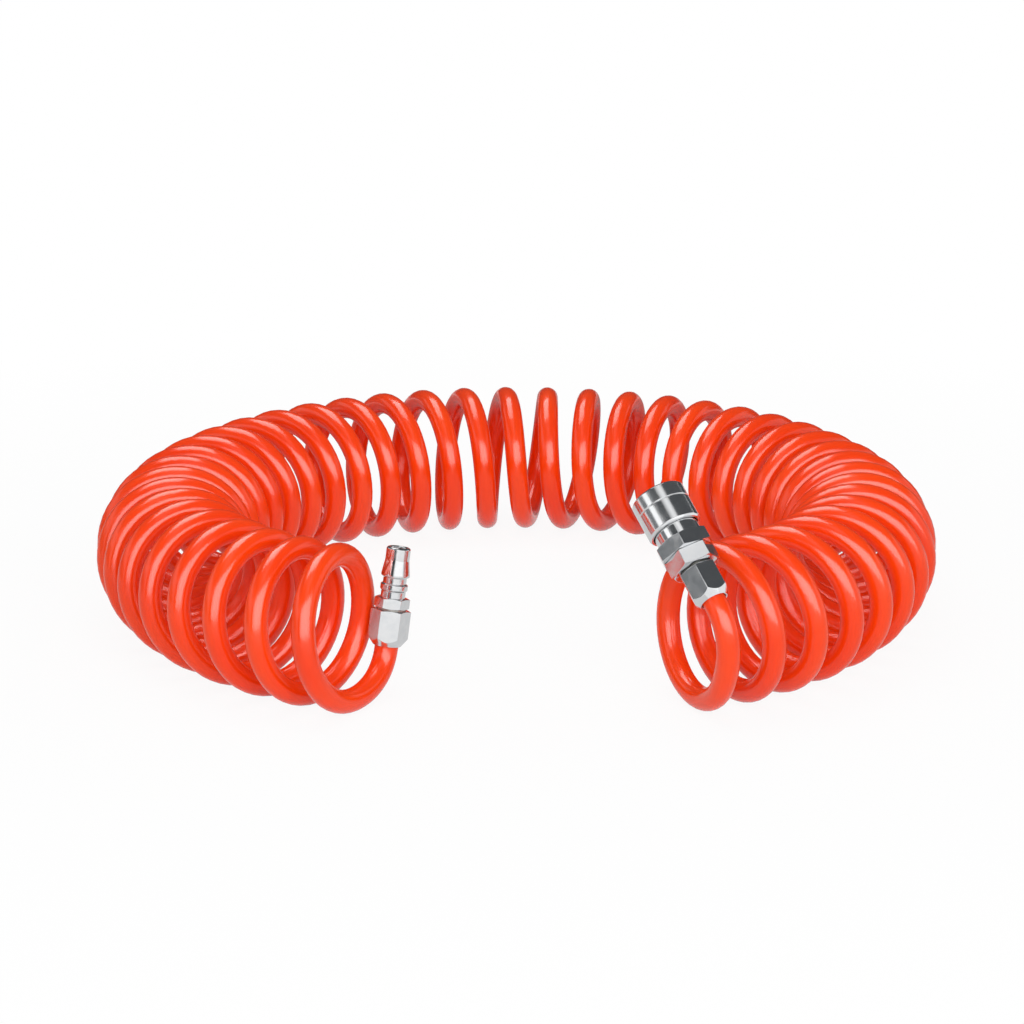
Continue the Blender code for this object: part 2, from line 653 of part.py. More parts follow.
def make_valve(parent):
    """The poppet: a slotted nose that the plug pushes, a head and a stem inside its spring."""
    material = brass("valve_brass")
    profile = [
        (0.0, VALVE_NOSE_AT),
        (VALVE_NOSE_RADIUS, VALVE_NOSE_AT),
        (VALVE_NOSE_RADIUS, VALVE_HEAD_AT),
        (VALVE_HEAD_RADIUS, VALVE_HEAD_AT),
        (VALVE_HEAD_RADIUS, VALVE_HEAD_END),
        (VALVE_STEM_RADIUS, VALVE_HEAD_END),
        (VALVE_STEM_RADIUS, VALVE_STEM_END),
        (0.0, VALVE_STEM_END),
    ]
    valve = turned("valve", profile, material, parent, SMALL_ROUND)
    long = 4 * VALVE_NOSE_RADIUS
    middle = (0, 0, VALVE_NOSE_AT)
    slots = {
        "slot_across": (long, VALVE_SLOT, VALVE_SLOT),
        "slot_along": (VALVE_SLOT, long, VALVE_SLOT),
    }
    for name, size in slots.items():
        boolean(valve, "DIFFERENCE", block(name, size, middle, material, parent))


def make_adapter(parent):
    """The tail piece screwed into the body: spring chamber, hexagon, thread and barb."""
    material = chrome("adapter_chrome")
    profile = [
        (ADAPTER_RADIUS, ADAPTER_AT),
        (ADAPTER_RADIUS, ADAPTER_HEX_END - MEET),
        (THREAD_RADIUS, ADAPTER_HEX_END - MEET),
        *hose_tail(ADAPTER_HEX_END),
        (AIR_RADIUS, ADAPTER_HEX_END + THREAD_LENGTH + BARB_LENGTH),
        (AIR_RADIUS, SPRING_FLOOR),
        (SPRING_CHAMBER, SPRING_FLOOR),
        (SPRING_CHAMBER, ADAPTER_AT),
    ]
    body = turned("adapter", profile, material, parent)
    inside = (SPRING_CHAMBER + ADAPTER_RADIUS) / 2
    collar = hex_collar(
        "adapter_hexagon",
        ADAPTER_HEX_FLATS,
        inside,
        ADAPTER_HEX_AT,
        ADAPTER_HEX_END,
        FLAT_TO_FRONT,
        material,
        parent,
    )
    boolean(body, "UNION", collar)


def make_valve_seal(parent):
    inner = VALVE_NOSE_RADIUS + GAP
    outer = VALVE_HEAD_RADIUS
    material = rubber("valve_seal_rubber")
    make_flat_ring("valve_seal", inner, outer, VALVE_SEAL_AT, VALVE_SEAL_THICKNESS, material, parent)


def make_adapter_seal(parent):
    outer = ADAPTER_RADIUS
    inner = outer - ADAPTER_SEAL_WIDTH
    material = rubber("adapter_seal_rubber")
    make_flat_ring("adapter_seal", inner, outer, ADAPTER_SEAL_AT, ADAPTER_SEAL_THICKNESS, material, parent)


def make_springs(parent):
    helix(
        "sleeve_spring",
        SLEEVE_SPRING_RADIUS,
        SLEEVE_SPRING_WIRE,
        LAND_END + GAP,
        NECK_AT - GAP,
        SLEEVE_SPRING_TURNS,
        steel("sleeve_spring_steel"),
        parent,
    )
    helix(
        "valve_spring",
        VALVE_SPRING_RADIUS,
        VALVE_SPRING_WIRE,
        VALVE_HEAD_END + GAP,
        SPRING_FLOOR - GAP,
        VALVE_SPRING_TURNS,
        steel("valve_spring_steel"),
        parent,
    )


def main():
    corners = coil_corners()
    swing_plug_end(corners)
    plug_length = PLUG_HEX_END + NUT_JOINT + NUT_LENGTH
    socket_length = ADAPTER_HEX_END + NUT_JOINT + NUT_LENGTH
    plug = fitting_frame("plug_axis", corners[1], corners[0], PLUG_TAIL, plug_length)
    socket = fitting_frame("socket_axis", corners[-2], corners[-1], SOCKET_TAIL, socket_length)
    bpy.context.view_layer.update()

    make_hose(corners[1:-1], plug, socket, PLUG_HEX_END + HOSE_SEAT, ADAPTER_HEX_END + HOSE_SEAT)
    make_plug_body(plug)
    make_hose_nut("plug_hose_nut", PLUG_HEX_END, FLAT_TO_FRONT, plug)
    make_socket_body(socket)
    make_sleeve(socket)
    make_sleeve_ring(socket)
    make_lock_balls(socket)
    make_plug_seal(socket)
    make_valve(socket)
    make_valve_seal(socket)
    make_adapter(socket)
    make_adapter_seal(socket)
    make_springs(socket)
    make_hose_nut("socket_hose_nut", ADAPTER_HEX_END, CORNER_TO_SIDE, socket)


for old in list(bpy.data.objects):
    bpy.data.objects.remove(old)
part = new_collection("coiled_air_hose")
cutters = new_collection("cutters")
main()
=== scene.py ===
# %% [markdown]
# # A coiled air hose with quick fittings
# The imported CAD model is the frame of this scene: it gives every piece its place and says what moves.
# The solids are plain, so each one that shows is replaced here by a finer piece in the same place.

# %% Load the frame
from math import atan, cos, hypot, pi, radians, sin, sqrt, tan

import bmesh
import bpy
from mathutils import Matrix, Vector
from mathutils.geometry import interpolate_bezier


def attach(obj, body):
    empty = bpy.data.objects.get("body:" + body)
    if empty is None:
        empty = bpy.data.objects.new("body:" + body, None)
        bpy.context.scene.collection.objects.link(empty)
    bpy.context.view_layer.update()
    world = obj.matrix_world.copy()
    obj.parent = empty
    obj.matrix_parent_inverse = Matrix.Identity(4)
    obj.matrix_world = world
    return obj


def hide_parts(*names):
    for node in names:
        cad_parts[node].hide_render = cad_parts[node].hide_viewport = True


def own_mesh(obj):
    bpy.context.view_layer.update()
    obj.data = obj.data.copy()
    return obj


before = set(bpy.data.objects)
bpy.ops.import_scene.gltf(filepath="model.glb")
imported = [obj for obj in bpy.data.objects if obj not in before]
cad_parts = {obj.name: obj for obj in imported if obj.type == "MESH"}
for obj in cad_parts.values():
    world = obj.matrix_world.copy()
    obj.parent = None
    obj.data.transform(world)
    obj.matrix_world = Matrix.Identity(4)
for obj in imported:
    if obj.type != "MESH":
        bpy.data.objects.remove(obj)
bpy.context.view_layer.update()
MM = 0.001

# %% [markdown]
# ## Camera
# The horseshoe of loops is seen from the front and a little from above. A long lens keeps the near and
# the far loops alike in size. The lens, the height and the distance were found together by matching
# the loops' places, so they are set as plain numbers.

# %% Set up the camera
CAMERA_TARGET = Vector((-2.0, -9.7, 48.2)) * MM
CAMERA_DISTANCE = 1.5
CAMERA_LENS = 117.0
CAMERA_AZIMUTH = radians(1.0)
CAMERA_ELEVATION = radians(15.06)

flat = cos(CAMERA_ELEVATION)
look = Vector((sin(CAMERA_AZIMUTH) * flat, cos(CAMERA_AZIMUTH) * flat, -sin(CAMERA_ELEVATION)))
camera_data = bpy.data.cameras.new("product_camera")
camera_data.lens = CAMERA_LENS
camera = bpy.data.objects.new("product_camera", camera_data)
camera.location = CAMERA_TARGET - look * CAMERA_DISTANCE
camera.rotation_euler = look.to_track_quat("-Z", "Y").to_euler()
bpy.context.scene.collection.objects.link(camera)
bpy.context.scene.camera = camera
print("camera at", [round(x, 3) for x in camera.location])

# %% [markdown]
# ## Route of the hose
# The hose is one tube, set by its maker as a spring of loops, and the spring is bent into a horseshoe.
# A helix could be drawn by hand with a curve, but forty loops are easier to work out: one angle goes
# round the loop while another goes round the horseshoe. The fittings lie on straight lines that touch
# the first and the last loop, and two corner points of the loop give each line.

# %% Work out the coil and the axes of the fittings
HOSE_RADIUS = 5.0 * MM
COIL_RADIUS = 30.0 * MM
COIL_PITCH = 19.9 * MM
COIL_TURNS = 41.6
FIRST_TURN = 0.28
HORSESHOE_RADIUS = COIL_TURNS * COIL_PITCH / radians(309.0)
COIL_MIDDLE = Vector((0.0, -9.695, 34.985)) * MM
HALF_CORNER = 0.05
CORNER_RADIUS = COIL_RADIUS / cos(2 * pi * HALF_CORNER)


def coil_point(turn, radius=COIL_RADIUS):
    heading = (turn - FIRST_TURN - COIL_TURNS / 2) * COIL_PITCH / HORSESHOE_RADIUS
    clock = 2 * pi * turn
    reach = HORSESHOE_RADIUS - radius * sin(clock)
    return COIL_MIDDLE + Vector((reach * sin(heading), reach * cos(heading), radius * cos(clock)))


def fitting_axis(turn, inward, length, shift=0.0, swing=0.0):
    """A frame on a fitting's front face: z runs down its axis, towards the hose."""
    corner = coil_point(turn + inward * HALF_CORNER, CORNER_RADIUS)
    outward = (coil_point(turn - inward * HALF_CORNER, CORNER_RADIUS) - corner).normalized()
    outward.rotate(Matrix.Rotation(swing, 3, "Y"))
    corner.x += shift
    z_axis = -outward
    side = Vector((1, 0, 0))
    x_axis = (side - side.dot(z_axis) * z_axis).normalized()
    turned_to = Matrix((x_axis, z_axis.cross(x_axis), z_axis)).transposed().to_4x4()
    return Matrix.Translation(corner + outward * length) @ turned_to


# Places along each fitting in millimetres, from its front face
PLUG_HEX_AT = 21.4
PLUG_HEX_END = 26.0
ADAPTER_HEX_AT = 29.7
ADAPTER_HEX_END = 36.942
NUT_JOINT = 0.5
NUT_LENGTH = 15.3
HOSE_SEAT = 5.9

PLUG_LENGTH = (PLUG_HEX_END + NUT_JOINT + NUT_LENGTH) * MM
PLUG_TAIL = 1.4 * MM
PLUG_SHIFT = -1.85 * MM
PLUG_SWING = radians(-1.4)
SOCKET_LENGTH = (ADAPTER_HEX_END + NUT_JOINT + NUT_LENGTH) * MM
SOCKET_TAIL = 4.9 * MM
LAST_TURN = FIRST_TURN + COIL_TURNS
plug_axis = fitting_axis(FIRST_TURN, 1, PLUG_TAIL + PLUG_LENGTH, PLUG_SHIFT, PLUG_SWING)
socket_axis = fitting_axis(LAST_TURN, -1, SOCKET_TAIL + SOCKET_LENGTH)
print("plug tip", [round(x, 5) for x in plug_axis.translation])
print("socket front", [round(x, 5) for x in socket_axis.translation])

# %% [markdown]
# The hose leaves each nut straight and then bends into its loop. One Bezier span makes that bend:
# it starts along the fitting's axis and ends along the loop, so no kink shows. The loops themselves
# get many points each, since a coarse loop would show corners in its highlights.

# %% Join the tails and the coil in one line
POINTS_PER_TURN = 48
BEND_POINTS = 16
TAIL_STEP = 0.6 * MM
PLUG_SEAT = (PLUG_HEX_END + HOSE_SEAT) * MM
SOCKET_SEAT = (ADAPTER_HEX_END + HOSE_SEAT) * MM
COIL_FROM = 0.5
COIL_TO = 41.64


def coil_heading(turn):
    step = 0.001
    return (coil_point(turn + step) - coil_point(turn - step)).normalized()


def bend(start, start_heading, end, end_heading):
    """Points of a smooth bend that comes near to an arc of a circle."""
    angle = start_heading.angle(end_heading)
    radius = (end - start).length / (2 * sin(angle / 2))
    handle = 4 / 3 * tan(angle / 4) * radius
    return interpolate_bezier(
        start, start + start_heading * handle, end - end_heading * handle, end, BEND_POINTS
    )


def straight_tail(axis, seat, end):
    steps = round((end - seat) / TAIL_STEP)
    return [axis @ Vector((0, 0, seat + (end - seat) * i / steps)) for i in range(steps + 1)]


plug_tail = straight_tail(plug_axis, PLUG_SEAT, PLUG_LENGTH + PLUG_TAIL / 2)
socket_tail = straight_tail(socket_axis, SOCKET_SEAT, SOCKET_LENGTH + SOCKET_TAIL / 2)
plug_heading = plug_axis.to_3x3() @ Vector((0, 0, 1))
socket_heading = socket_axis.to_3x3() @ Vector((0, 0, -1))
plug_bend = bend(plug_tail[-1], plug_heading, coil_point(COIL_FROM), coil_heading(COIL_FROM))
socket_bend = bend(coil_point(COIL_TO), coil_heading(COIL_TO), socket_tail[-1], socket_heading)
coil_count = round((COIL_TO - COIL_FROM) * POINTS_PER_TURN)
coil = [coil_point(COIL_FROM + (COIL_TO - COIL_FROM) * i / coil_count) for i in range(coil_count + 1)]
hose_line = plug_tail[:-1] + plug_bend + coil[1:] + socket_bend[1:] + socket_tail[-2::-1]

# %% [markdown]
# ## The tube
# A curve with a round bevel is the quick way to draw a hose. Here the tube is a mesh instead, because
# its ends are bored for the barbs of the fittings, and because each point can then remember where it
# would lie if the hose were pulled straight. The material uses that to run its marks along the tube.

# %% Sweep a tube along a line
SHARP_ANGLE = radians(35)


def line_frames(points):
    """For each point of a line, the direction of travel and two directions across it, without twist."""
    frames = []
    across = None
    for i, point in enumerate(points):
        ahead = points[min(i + 1, len(points) - 1)]
        behind = points[max(i - 1, 0)]
        travel = (ahead - behind).normalized()
        if across is None:
            across = travel.orthogonal()
        across = (across - across.dot(travel) * travel).normalized()
        frames.append((across, travel.cross(across)))
    return frames


def closed_piece(name, body):
    """Closes a mesh's ends, points its faces outward and makes it an object with smooth shading."""
    bmesh.ops.remove_doubles(body, verts=body.verts, dist=0.0001 * MM)
    bmesh.ops.recalc_face_normals(body, faces=body.faces)
    mesh = bpy.data.meshes.new(name)
    body.to_mesh(mesh)
    body.free()
    mesh.shade_smooth()
    mesh.set_sharp_from_angle(angle=SHARP_ANGLE)
    piece = bpy.data.objects.new(name, mesh)
    bpy.context.scene.collection.objects.link(piece)
    return piece


def tube(name, points, sections, sides):
    """A closed tube: each section names a point of the line and the radius there, zero closing an end."""
    frames = line_frames(points)
    along = [0.0]
    for a, b in zip(points, points[1:]):
        along.append(along[-1] + (b - a).length)
    body = bmesh.new()
    straight = body.verts.layers.float_vector.new("straight")
    rings = []
    for index, radius in sections:
        u, v = frames[index]
        ring = []
        for k in range(sides):
            x = radius * cos(2 * pi * k / sides)
            y = radius * sin(2 * pi * k / sides)
            vert = body.verts.new(points[index] + u * x + v * y)
            vert[straight] = Vector((x, y, along[index]))
            ring.append(vert)
        rings.append(ring)
    for a, b in zip(rings, rings[1:]):
        for k in range(sides):
            n = (k + 1) % sides
            body.faces.new((a[k], a[n], b[n], b[k]))
    return closed_piece(name, body)


# %% [markdown]
# A fine piece stands for one plain solid: it rides on the solid's body and hides it. The
# hose is the first. Its sections start at the bottom of one bored end, come out, follow the line and go
# into the other bored end, so the tube is one closed surface and needs no separate caps.

# %% Make the hose
HOSE_SIDES = 24
BARB_BORE = 3.55 * MM
BARB_DEPTH = 9.3 * MM
CUT_EDGE = 0.3 * MM
ROOT = "hose_and_fittings"


def stand_for(piece, node, body):
    """Sets a piece on its body, hides the plain solid that it stands for and prints its size."""
    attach(piece, body)
    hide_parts(node)
    print(f"{piece.name}: {len(piece.data.vertices)} points for {node}")


bored = round(BARB_DEPTH / TAIL_STEP)
last = len(hose_line) - 1
hose_sections = [(bored, 0.0), (bored, BARB_BORE), (0, BARB_BORE), (0, HOSE_RADIUS - CUT_EDGE)]
hose_sections += [(i, HOSE_RADIUS) for i in range(1, last)]
hose_sections += [(last, HOSE_RADIUS - CUT_EDGE), (last, BARB_BORE)]
hose_sections += [(last - bored, BARB_BORE), (last - bored, 0.0)]
hose = tube("polyurethane_tube", hose_line, hose_sections, HOSE_SIDES)
stand_for(hose, "hose", ROOT)

# %% [markdown]
# ## Finishes in nodes
# A finish in Blender is a tree of nodes. Trees are often drawn by hand in the editor, but every finish here
# takes the same few steps, so these are written once: a hex colour becomes linear numbers, a node gets its
# settings and links, a new material starts from its shader, a colour ramp gets its stops, and a roughness
# follows a texture.

# %% Node helpers
def linear(hex_colour):
    """An sRGB hex colour as the linear numbers that Blender's sockets take."""
    channels = [int(hex_colour[i:i + 2], 16) / 255 for i in (1, 3, 5)]
    return [c / 12.92 if c <= 0.04045 else ((c + 0.055) / 1.055) ** 2.4 for c in channels] + [1.0]


def add(tree, kind, settings=None, inputs=None):
    """Adds a node. Settings are its own properties; inputs are values, or sockets to link from."""
    node = tree.nodes.new(kind)
    for key, value in (settings or {}).items():
        setattr(node, key, value)
    for key, value in (inputs or {}).items():
        if isinstance(value, bpy.types.NodeSocket):
            tree.links.new(value, node.inputs[key])
        else:
            node.inputs[key].default_value = value
    return node


def new_finish(name):
    """A material with an empty node tree but for its shader and its output."""
    material = bpy.data.materials.new(name)
    material.use_nodes = True
    tree = material.node_tree
    return material, tree, tree.nodes["Principled BSDF"]


def spread(ramp, stops):
    """Sets a colour ramp's stops from pairs of place and hex colour."""
    elements = ramp.color_ramp.elements
    while len(elements) < len(stops):
        elements.new(1.0)
    for element, (place, colour) in zip(elements, stops):
        element.position = place
        element.color = linear(colour)


def uneven_gloss(tree, shader, texture, low, high, between=(0.0, 1.0)):
    """Lets the roughness go from low to high as a texture goes between two values."""
    gloss = add(tree, "ShaderNodeMapRange", inputs={
        "Value": texture, "From Min": between[0], "From Max": between[1], "To Min": low, "To Max": high,
    })
    tree.links.new(gloss.outputs["Result"], shader.inputs["Roughness"])


# %% [markdown]
# ## Polyurethane
# The tube is extruded polyurethane, coloured right through. Hot plastic pulled through a die cools with
# a glossy skin, very faint lines along its length and slow changes of tone. A picture texture could
# carry that, but noise in the straightened coordinates follows the tube round every loop.
# A little light goes into the plastic and comes out again, which keeps its shadows warm; this finish leaves
# that out.

# %% Hose finish
# Glossy skin, IOR 1.45. Streaks 1.5 mm wide and 80 mm long, drawn coarser than real ones so that they show.
STREAK_WIDTH = 1.5 * MM
STREAK_LENGTH = 80.0 * MM
TONE_SIZE = 60.0 * MM
polyurethane, tree, shader = new_finish("extruded_polyurethane")
place = add(tree, "ShaderNodeAttribute", {"attribute_name": "straight"})
stretch = add(tree, "ShaderNodeMapping", inputs={
    "Vector": place.outputs["Vector"],
    "Scale": (1 / STREAK_WIDTH, 1 / STREAK_WIDTH, 1 / STREAK_LENGTH),
})
streaks = add(tree, "ShaderNodeTexNoise", inputs={"Vector": stretch.outputs["Vector"], "Detail": 3.0})
tone = add(tree, "ShaderNodeTexNoise", inputs={"Vector": place.outputs["Vector"], "Scale": 1 / TONE_SIZE})
blend = add(tree, "ShaderNodeMath", {"operation": "MULTIPLY_ADD"}, {
    0: streaks.outputs["Fac"], 1: 0.35, 2: tone.outputs["Fac"],
})
colour = add(tree, "ShaderNodeValToRGB", inputs={"Fac": blend.outputs["Value"]})
spread(colour, [(0.35, "#F03502"), (0.95, "#FD4A08")])
uneven_gloss(tree, shader, streaks.outputs["Fac"], 0.15, 0.25)
ripple = add(tree, "ShaderNodeBump", inputs={
    "Height": streaks.outputs["Fac"], "Strength": 0.15, "Distance": 0.05 * MM,
})
tree.links.new(colour.outputs["Color"], shader.inputs["Base Color"])
tree.links.new(ripple.outputs["Normal"], shader.inputs["Normal"])
shader.inputs["IOR"].default_value = 1.45
hose.data.materials.append(polyurethane)
print("hose finish:", polyurethane.name)

# %% [markdown]
# ## Bright plate
# The fittings are steel and brass parts plated with nickel and a thin flash of chromium. Such plate is a
# mirror, so what shows is its surroundings: white below, dark above and the red of the loops.
# Only its roughness varies, with the turning marks under the plate and a little handling. The sleeve and
# the plug with its nut are gripped whenever a hose is joined, so fine scratches make them a little duller.
# Clouds of noise, sized from real smudges, shade this finish and the other bare ones, so one function
# makes them.

# %% Plated finishes
WAVE_LENGTH = 0.314  # of Blender's wave texture at scale 1
TURNING_LINES = 0.45 * MM  # real feed lines are 0.1 mm apart, drawn wider so that they show
HANDLING_SIZE = 3.0 * MM


def clouded(tree, shader, size, detail, stops):
    """Shades a finish's colour with noise of a real size, and returns the noise for further use."""
    place = add(tree, "ShaderNodeTexCoord")
    clouds = add(tree, "ShaderNodeTexNoise", inputs={
        "Vector": place.outputs["Object"], "Scale": 1 / size, "Detail": detail,
    })
    tint = add(tree, "ShaderNodeValToRGB", inputs={"Fac": clouds.outputs["Fac"]})
    spread(tint, stops)
    tree.links.new(tint.outputs["Color"], shader.inputs["Base Color"])
    return clouds.outputs["Fac"]


def plate(name, marks, wear=0.0):
    """Nickel-chrome plate: marks is the strength of the turning lines, wear is added to the roughness."""
    material, tree, shader = new_finish(name)
    smudges = clouded(tree, shader, HANDLING_SIZE, 4.0, [(0.3, "#DCDEE0"), (0.7, "#E4E5E6")])
    uneven_gloss(tree, shader, smudges, 0.08 + wear, 0.14 + wear, between=(0.3, 0.7))
    place = add(tree, "ShaderNodeTexCoord")
    rings = add(tree, "ShaderNodeTexWave", {"bands_direction": "Z"}, {
        "Vector": place.outputs["Object"], "Scale": WAVE_LENGTH / TURNING_LINES,
        "Distortion": 1.5, "Detail": 2.0,
    })
    lines = add(tree, "ShaderNodeBump", inputs={
        "Height": rings.outputs["Fac"], "Strength": marks, "Distance": 0.01 * MM,
    })
    tree.links.new(lines.outputs["Normal"], shader.inputs["Normal"])
    shader.inputs["Metallic"].default_value = 1.0
    return material


turned_plate = plate("nickel_chrome_plate_turned", 0.25)
flat_plate = plate("nickel_chrome_plate_milled", 0.05)
handled_plate = plate("nickel_chrome_plate_handled", 0.25, wear=0.05)
print("plates:", turned_plate.name, flat_plate.name, handled_plate.name)

# %% [markdown]
# Plate hardly reaches the bottom of a thread, and the thread was greased before the nut went on. What
# shows of it between a nut and its hexagon is a warm dark line, bright only where it faces the light,
# so the thread gets a finish of its own, darker than the plate: partly grease, partly painted shade of the
# gap.

# %% Thread finish
GREASE_SIZE = 0.6 * MM
greased_and_shaded_thread, tree, shader = new_finish("greased_brass_thread_gap_shade")
# Stops darker and warmer than the plate's: partly grease, partly painted shade of the gap between nut and
# hexagon.
grease = clouded(tree, shader, GREASE_SIZE, 3.0, [(0.3, "#C4C0B8"), (0.7, "#D8D4CC")])
uneven_gloss(tree, shader, grease, 0.25, 0.5)
shader.inputs["Metallic"].default_value = 1.0
print("thread finish:", greased_and_shaded_thread.name)

# %% [markdown]
# ## Soft edges
# No machined edge is razor-sharp: each is broken by a file or a tool, and the thin line of light on it is
# what makes metal look real. A Bevel modifier could round the finished mesh, but an outline is easier to
# round before it is turned. Each corner is cut short and bridged with a small curve.

# %% Soften an outline
SOFT_STEPS = 3
SHARE_OF_SIDE = 0.45


def softened(outline, radius):
    """Rounds the corners of a closed outline in millimetres, apart from those of a hexagon."""
    points = []
    for i, point in enumerate(outline):
        before = outline[i - 1]
        after = outline[(i + 1) % len(outline)]
        if callable(before) or callable(point) or callable(after) or point[0] == 0:
            points.append(point)
            continue
        corner = Vector(point)
        back = Vector(before) - corner
        ahead = Vector(after) - corner
        cut = min(radius, SHARE_OF_SIDE * back.length, SHARE_OF_SIDE * ahead.length)
        start = corner + back.normalized() * cut
        end = corner + ahead.normalized() * cut
        for step in range(SOFT_STEPS + 1):
            t = step / SOFT_STEPS
            points.append(tuple(start.lerp(corner, t).lerp(corner.lerp(end, t), t)))
    return points


# %% [markdown]
# ## Hexagons
# The spanner flats of a fitting are what is left of a hexagon bar. A piece with flats is turned in the same
# way as a round one, but some points of its outline move out to the hexagon. So each direction round the
# axis has a radius of its own: that of the flat, or that of the eased corner between two flats.

# %% Go round a hexagon
ROUND_SIDES = 96
CORNER_ROUND = 0.35
FLAT_POINTS = 12
CORNER_POINTS = 4


def hexagon_rays(flats, turn):
    """Directions round a hexagon and its radius in each, in millimetres, with eased corners."""
    apothem = flats / 2
    centre = (apothem - CORNER_ROUND) / cos(pi / 6)
    flat_end = atan((apothem - CORNER_ROUND) * tan(pi / 6) / apothem)
    flat_part = [flat_end * (2 * i / FLAT_POINTS - 1) for i in range(FLAT_POINTS + 1)]
    corner_part = [flat_end + (pi / 6 - flat_end) * (i + 1) / CORNER_POINTS for i in range(CORNER_POINTS)]
    offsets = [-x for x in corner_part[-2::-1]] + flat_part + corner_part
    rays = []
    for side in range(6):
        for offset in offsets:
            if abs(offset) <= flat_end:
                radius = apothem / cos(offset)
            else:
                away = pi / 6 - abs(offset)
                radius = centre * cos(away) + sqrt(CORNER_ROUND ** 2 - (centre * sin(away)) ** 2)
            rays.append((pi / 2 + turn + pi / 6 + side * pi / 3 + offset, radius))
    return rays


def round_rays():
    return [(2 * pi * k / ROUND_SIDES, 0.0) for k in range(ROUND_SIDES)]


# %% [markdown]
# ## Turning
# A Screw modifier can turn an outline, but it can't make a hexagon with curved chamfers, so the outline is
# turned by code. A point of it is a radius and a height in millimetres, or a function of the hexagon's
# radius in that direction. A chamfer is a cone, so it cuts deeper at the corners than at the flats, and
# that gives it the scalloped edge of a real nut.

# %% Turn an outline
CHAMFER_EDGE = 0.12


def chamfer(face, land, lean):
    """The eased edge between a hexagon's flats and its chamfer; lean is negative at the rear end."""
    def cone(radius):
        return face + lean * (radius - land)

    def inside(flat):
        return flat - CHAMFER_EDGE, cone(flat - CHAMFER_EDGE)

    def middle(flat):
        return flat - CHAMFER_EDGE / 4, cone(flat) + lean * CHAMFER_EDGE / 4

    def outside(flat):
        return flat, cone(flat) + CHAMFER_EDGE * (1 if lean > 0 else -1)

    return [inside, middle, outside] if lean > 0 else [outside, middle, inside]


def lathe(name, outline, axis, rays, material):
    """Turns an outline in millimetres round a fitting's axis."""
    body = bmesh.new()
    columns = []
    for angle, hexagon_radius in rays:
        column = []
        for point in outline:
            radius, height = point(hexagon_radius) if callable(point) else point
            place = Vector((radius * cos(angle), radius * sin(angle), height))
            column.append(body.verts.new(place * MM))
        columns.append(column)
    on_axis = [not callable(p) and p[0] == 0 for p in outline]
    count = len(outline)
    for k, column in enumerate(columns):
        beside = columns[(k + 1) % len(columns)]
        for i in range(count):
            j = (i + 1) % count
            if not (on_axis[i] and on_axis[j]):
                body.faces.new((column[i], column[j], beside[j], beside[i]))
    piece = closed_piece(name, body)
    piece.data.materials.append(material)
    piece.matrix_world = axis
    shading = piece.modifiers.new("flat_faces_stay_flat", "WEIGHTED_NORMAL")
    shading.keep_sharp = True
    return piece


# %% [markdown]
# ## Plug
# The male plug pushes into a socket. Its nose swells to a shoulder, then drops into the groove that the
# socket's balls catch. Behind the collar come a small hexagon, the thread for the hose nut and the
# barb that the hose is pushed over. It is one turned piece, so one outline draws it all.

# %% Make the plug
FLAT_TO_FRONT = pi / 6
THREAD_RADIUS = 6.0
THREAD_LENGTH = 5.6
TOOTH = 3.0
BARB_TOP = 3.25
BARB_FOOT = 2.85
BARB_TEETH = 3
AIR_RADIUS = 2.1
LEAN = 0.36
HEX_LAND = 0.3
PLUG_HEX_FLATS = 13.0
NOSE_RADIUS = 5.1
SHOULDER_RADIUS = 6.05
GROOVE_RADIUS = 4.95
COLLAR_RADIUS = 5.8
WAIST_RADIUS = 5.2
PLUG_BORE = 3.2


def hose_tail(at):
    """Thread and barb behind a hexagon, then the face where the air comes out."""
    thread_end = at + THREAD_LENGTH
    points = [(THREAD_RADIUS, at), (THREAD_RADIUS, thread_end - 0.4), (THREAD_RADIUS - 0.4, thread_end)]
    for tooth in range(BARB_TEETH):
        start = thread_end + TOOTH * tooth
        points += [(BARB_TOP, start), (BARB_FOOT, start + TOOTH)]
    return points + [(AIR_RADIUS, thread_end + BARB_TEETH * TOOTH)]


def grease_and_shade_thread(piece, start):
    """Gives the thread that starts at this place along a fitting its own finish: grease and painted shade.
    """
    piece.data.materials.append(greased_and_shaded_thread)
    for face in piece.data.polygons:
        x, y, z = face.center / MM
        if start < z < start + THREAD_LENGTH and AIR_RADIUS < hypot(x, y) < THREAD_RADIUS + 0.1:
            face.material_index = 1


plug_land = PLUG_HEX_FLATS / 2 - HEX_LAND
plug_outline = [
    (NOSE_RADIUS - 0.7, 0.0), (NOSE_RADIUS, 0.7), (NOSE_RADIUS, 5.5),
    (SHOULDER_RADIUS, 11.5), (SHOULDER_RADIUS, 12.3), (GROOVE_RADIUS, 12.9), (GROOVE_RADIUS, 15.3),
    (COLLAR_RADIUS, 15.9), (COLLAR_RADIUS, 18.0), (WAIST_RADIUS, 18.6), (WAIST_RADIUS, PLUG_HEX_AT),
    (plug_land, PLUG_HEX_AT), *chamfer(PLUG_HEX_AT, plug_land, LEAN),
    *chamfer(PLUG_HEX_END, plug_land, -LEAN), (plug_land, PLUG_HEX_END), *hose_tail(PLUG_HEX_END),
    (AIR_RADIUS, PLUG_HEX_END), (PLUG_BORE, PLUG_HEX_AT), (PLUG_BORE, 0.5), (PLUG_BORE + 0.5, 0.0),
]
plug_rays = hexagon_rays(PLUG_HEX_FLATS, FLAT_TO_FRONT)
plug = lathe("plug", softened(plug_outline, 0.25), plug_axis, plug_rays, handled_plate)
grease_and_shade_thread(plug, PLUG_HEX_END)
stand_for(plug, "plug_body", ROOT)

# %% [markdown]
# ## Hose nuts
# A cap nut on each fitting squeezes the hose on its barb. It is a hexagon bar whose rear end was turned
# to a cone, down to the hose. A steep chamfer does that: the cone meets each flat along a curve.

# %% Make the two hose nuts
NUT_FLATS = 14.8
HOSE_PASS = 5.3
NUT_THREAD = THREAD_RADIUS + 0.3
NUT_RIM = HOSE_PASS + 0.7
CONE_LEAN = 1.37
CORNER_TO_SIDE = radians(12.7)


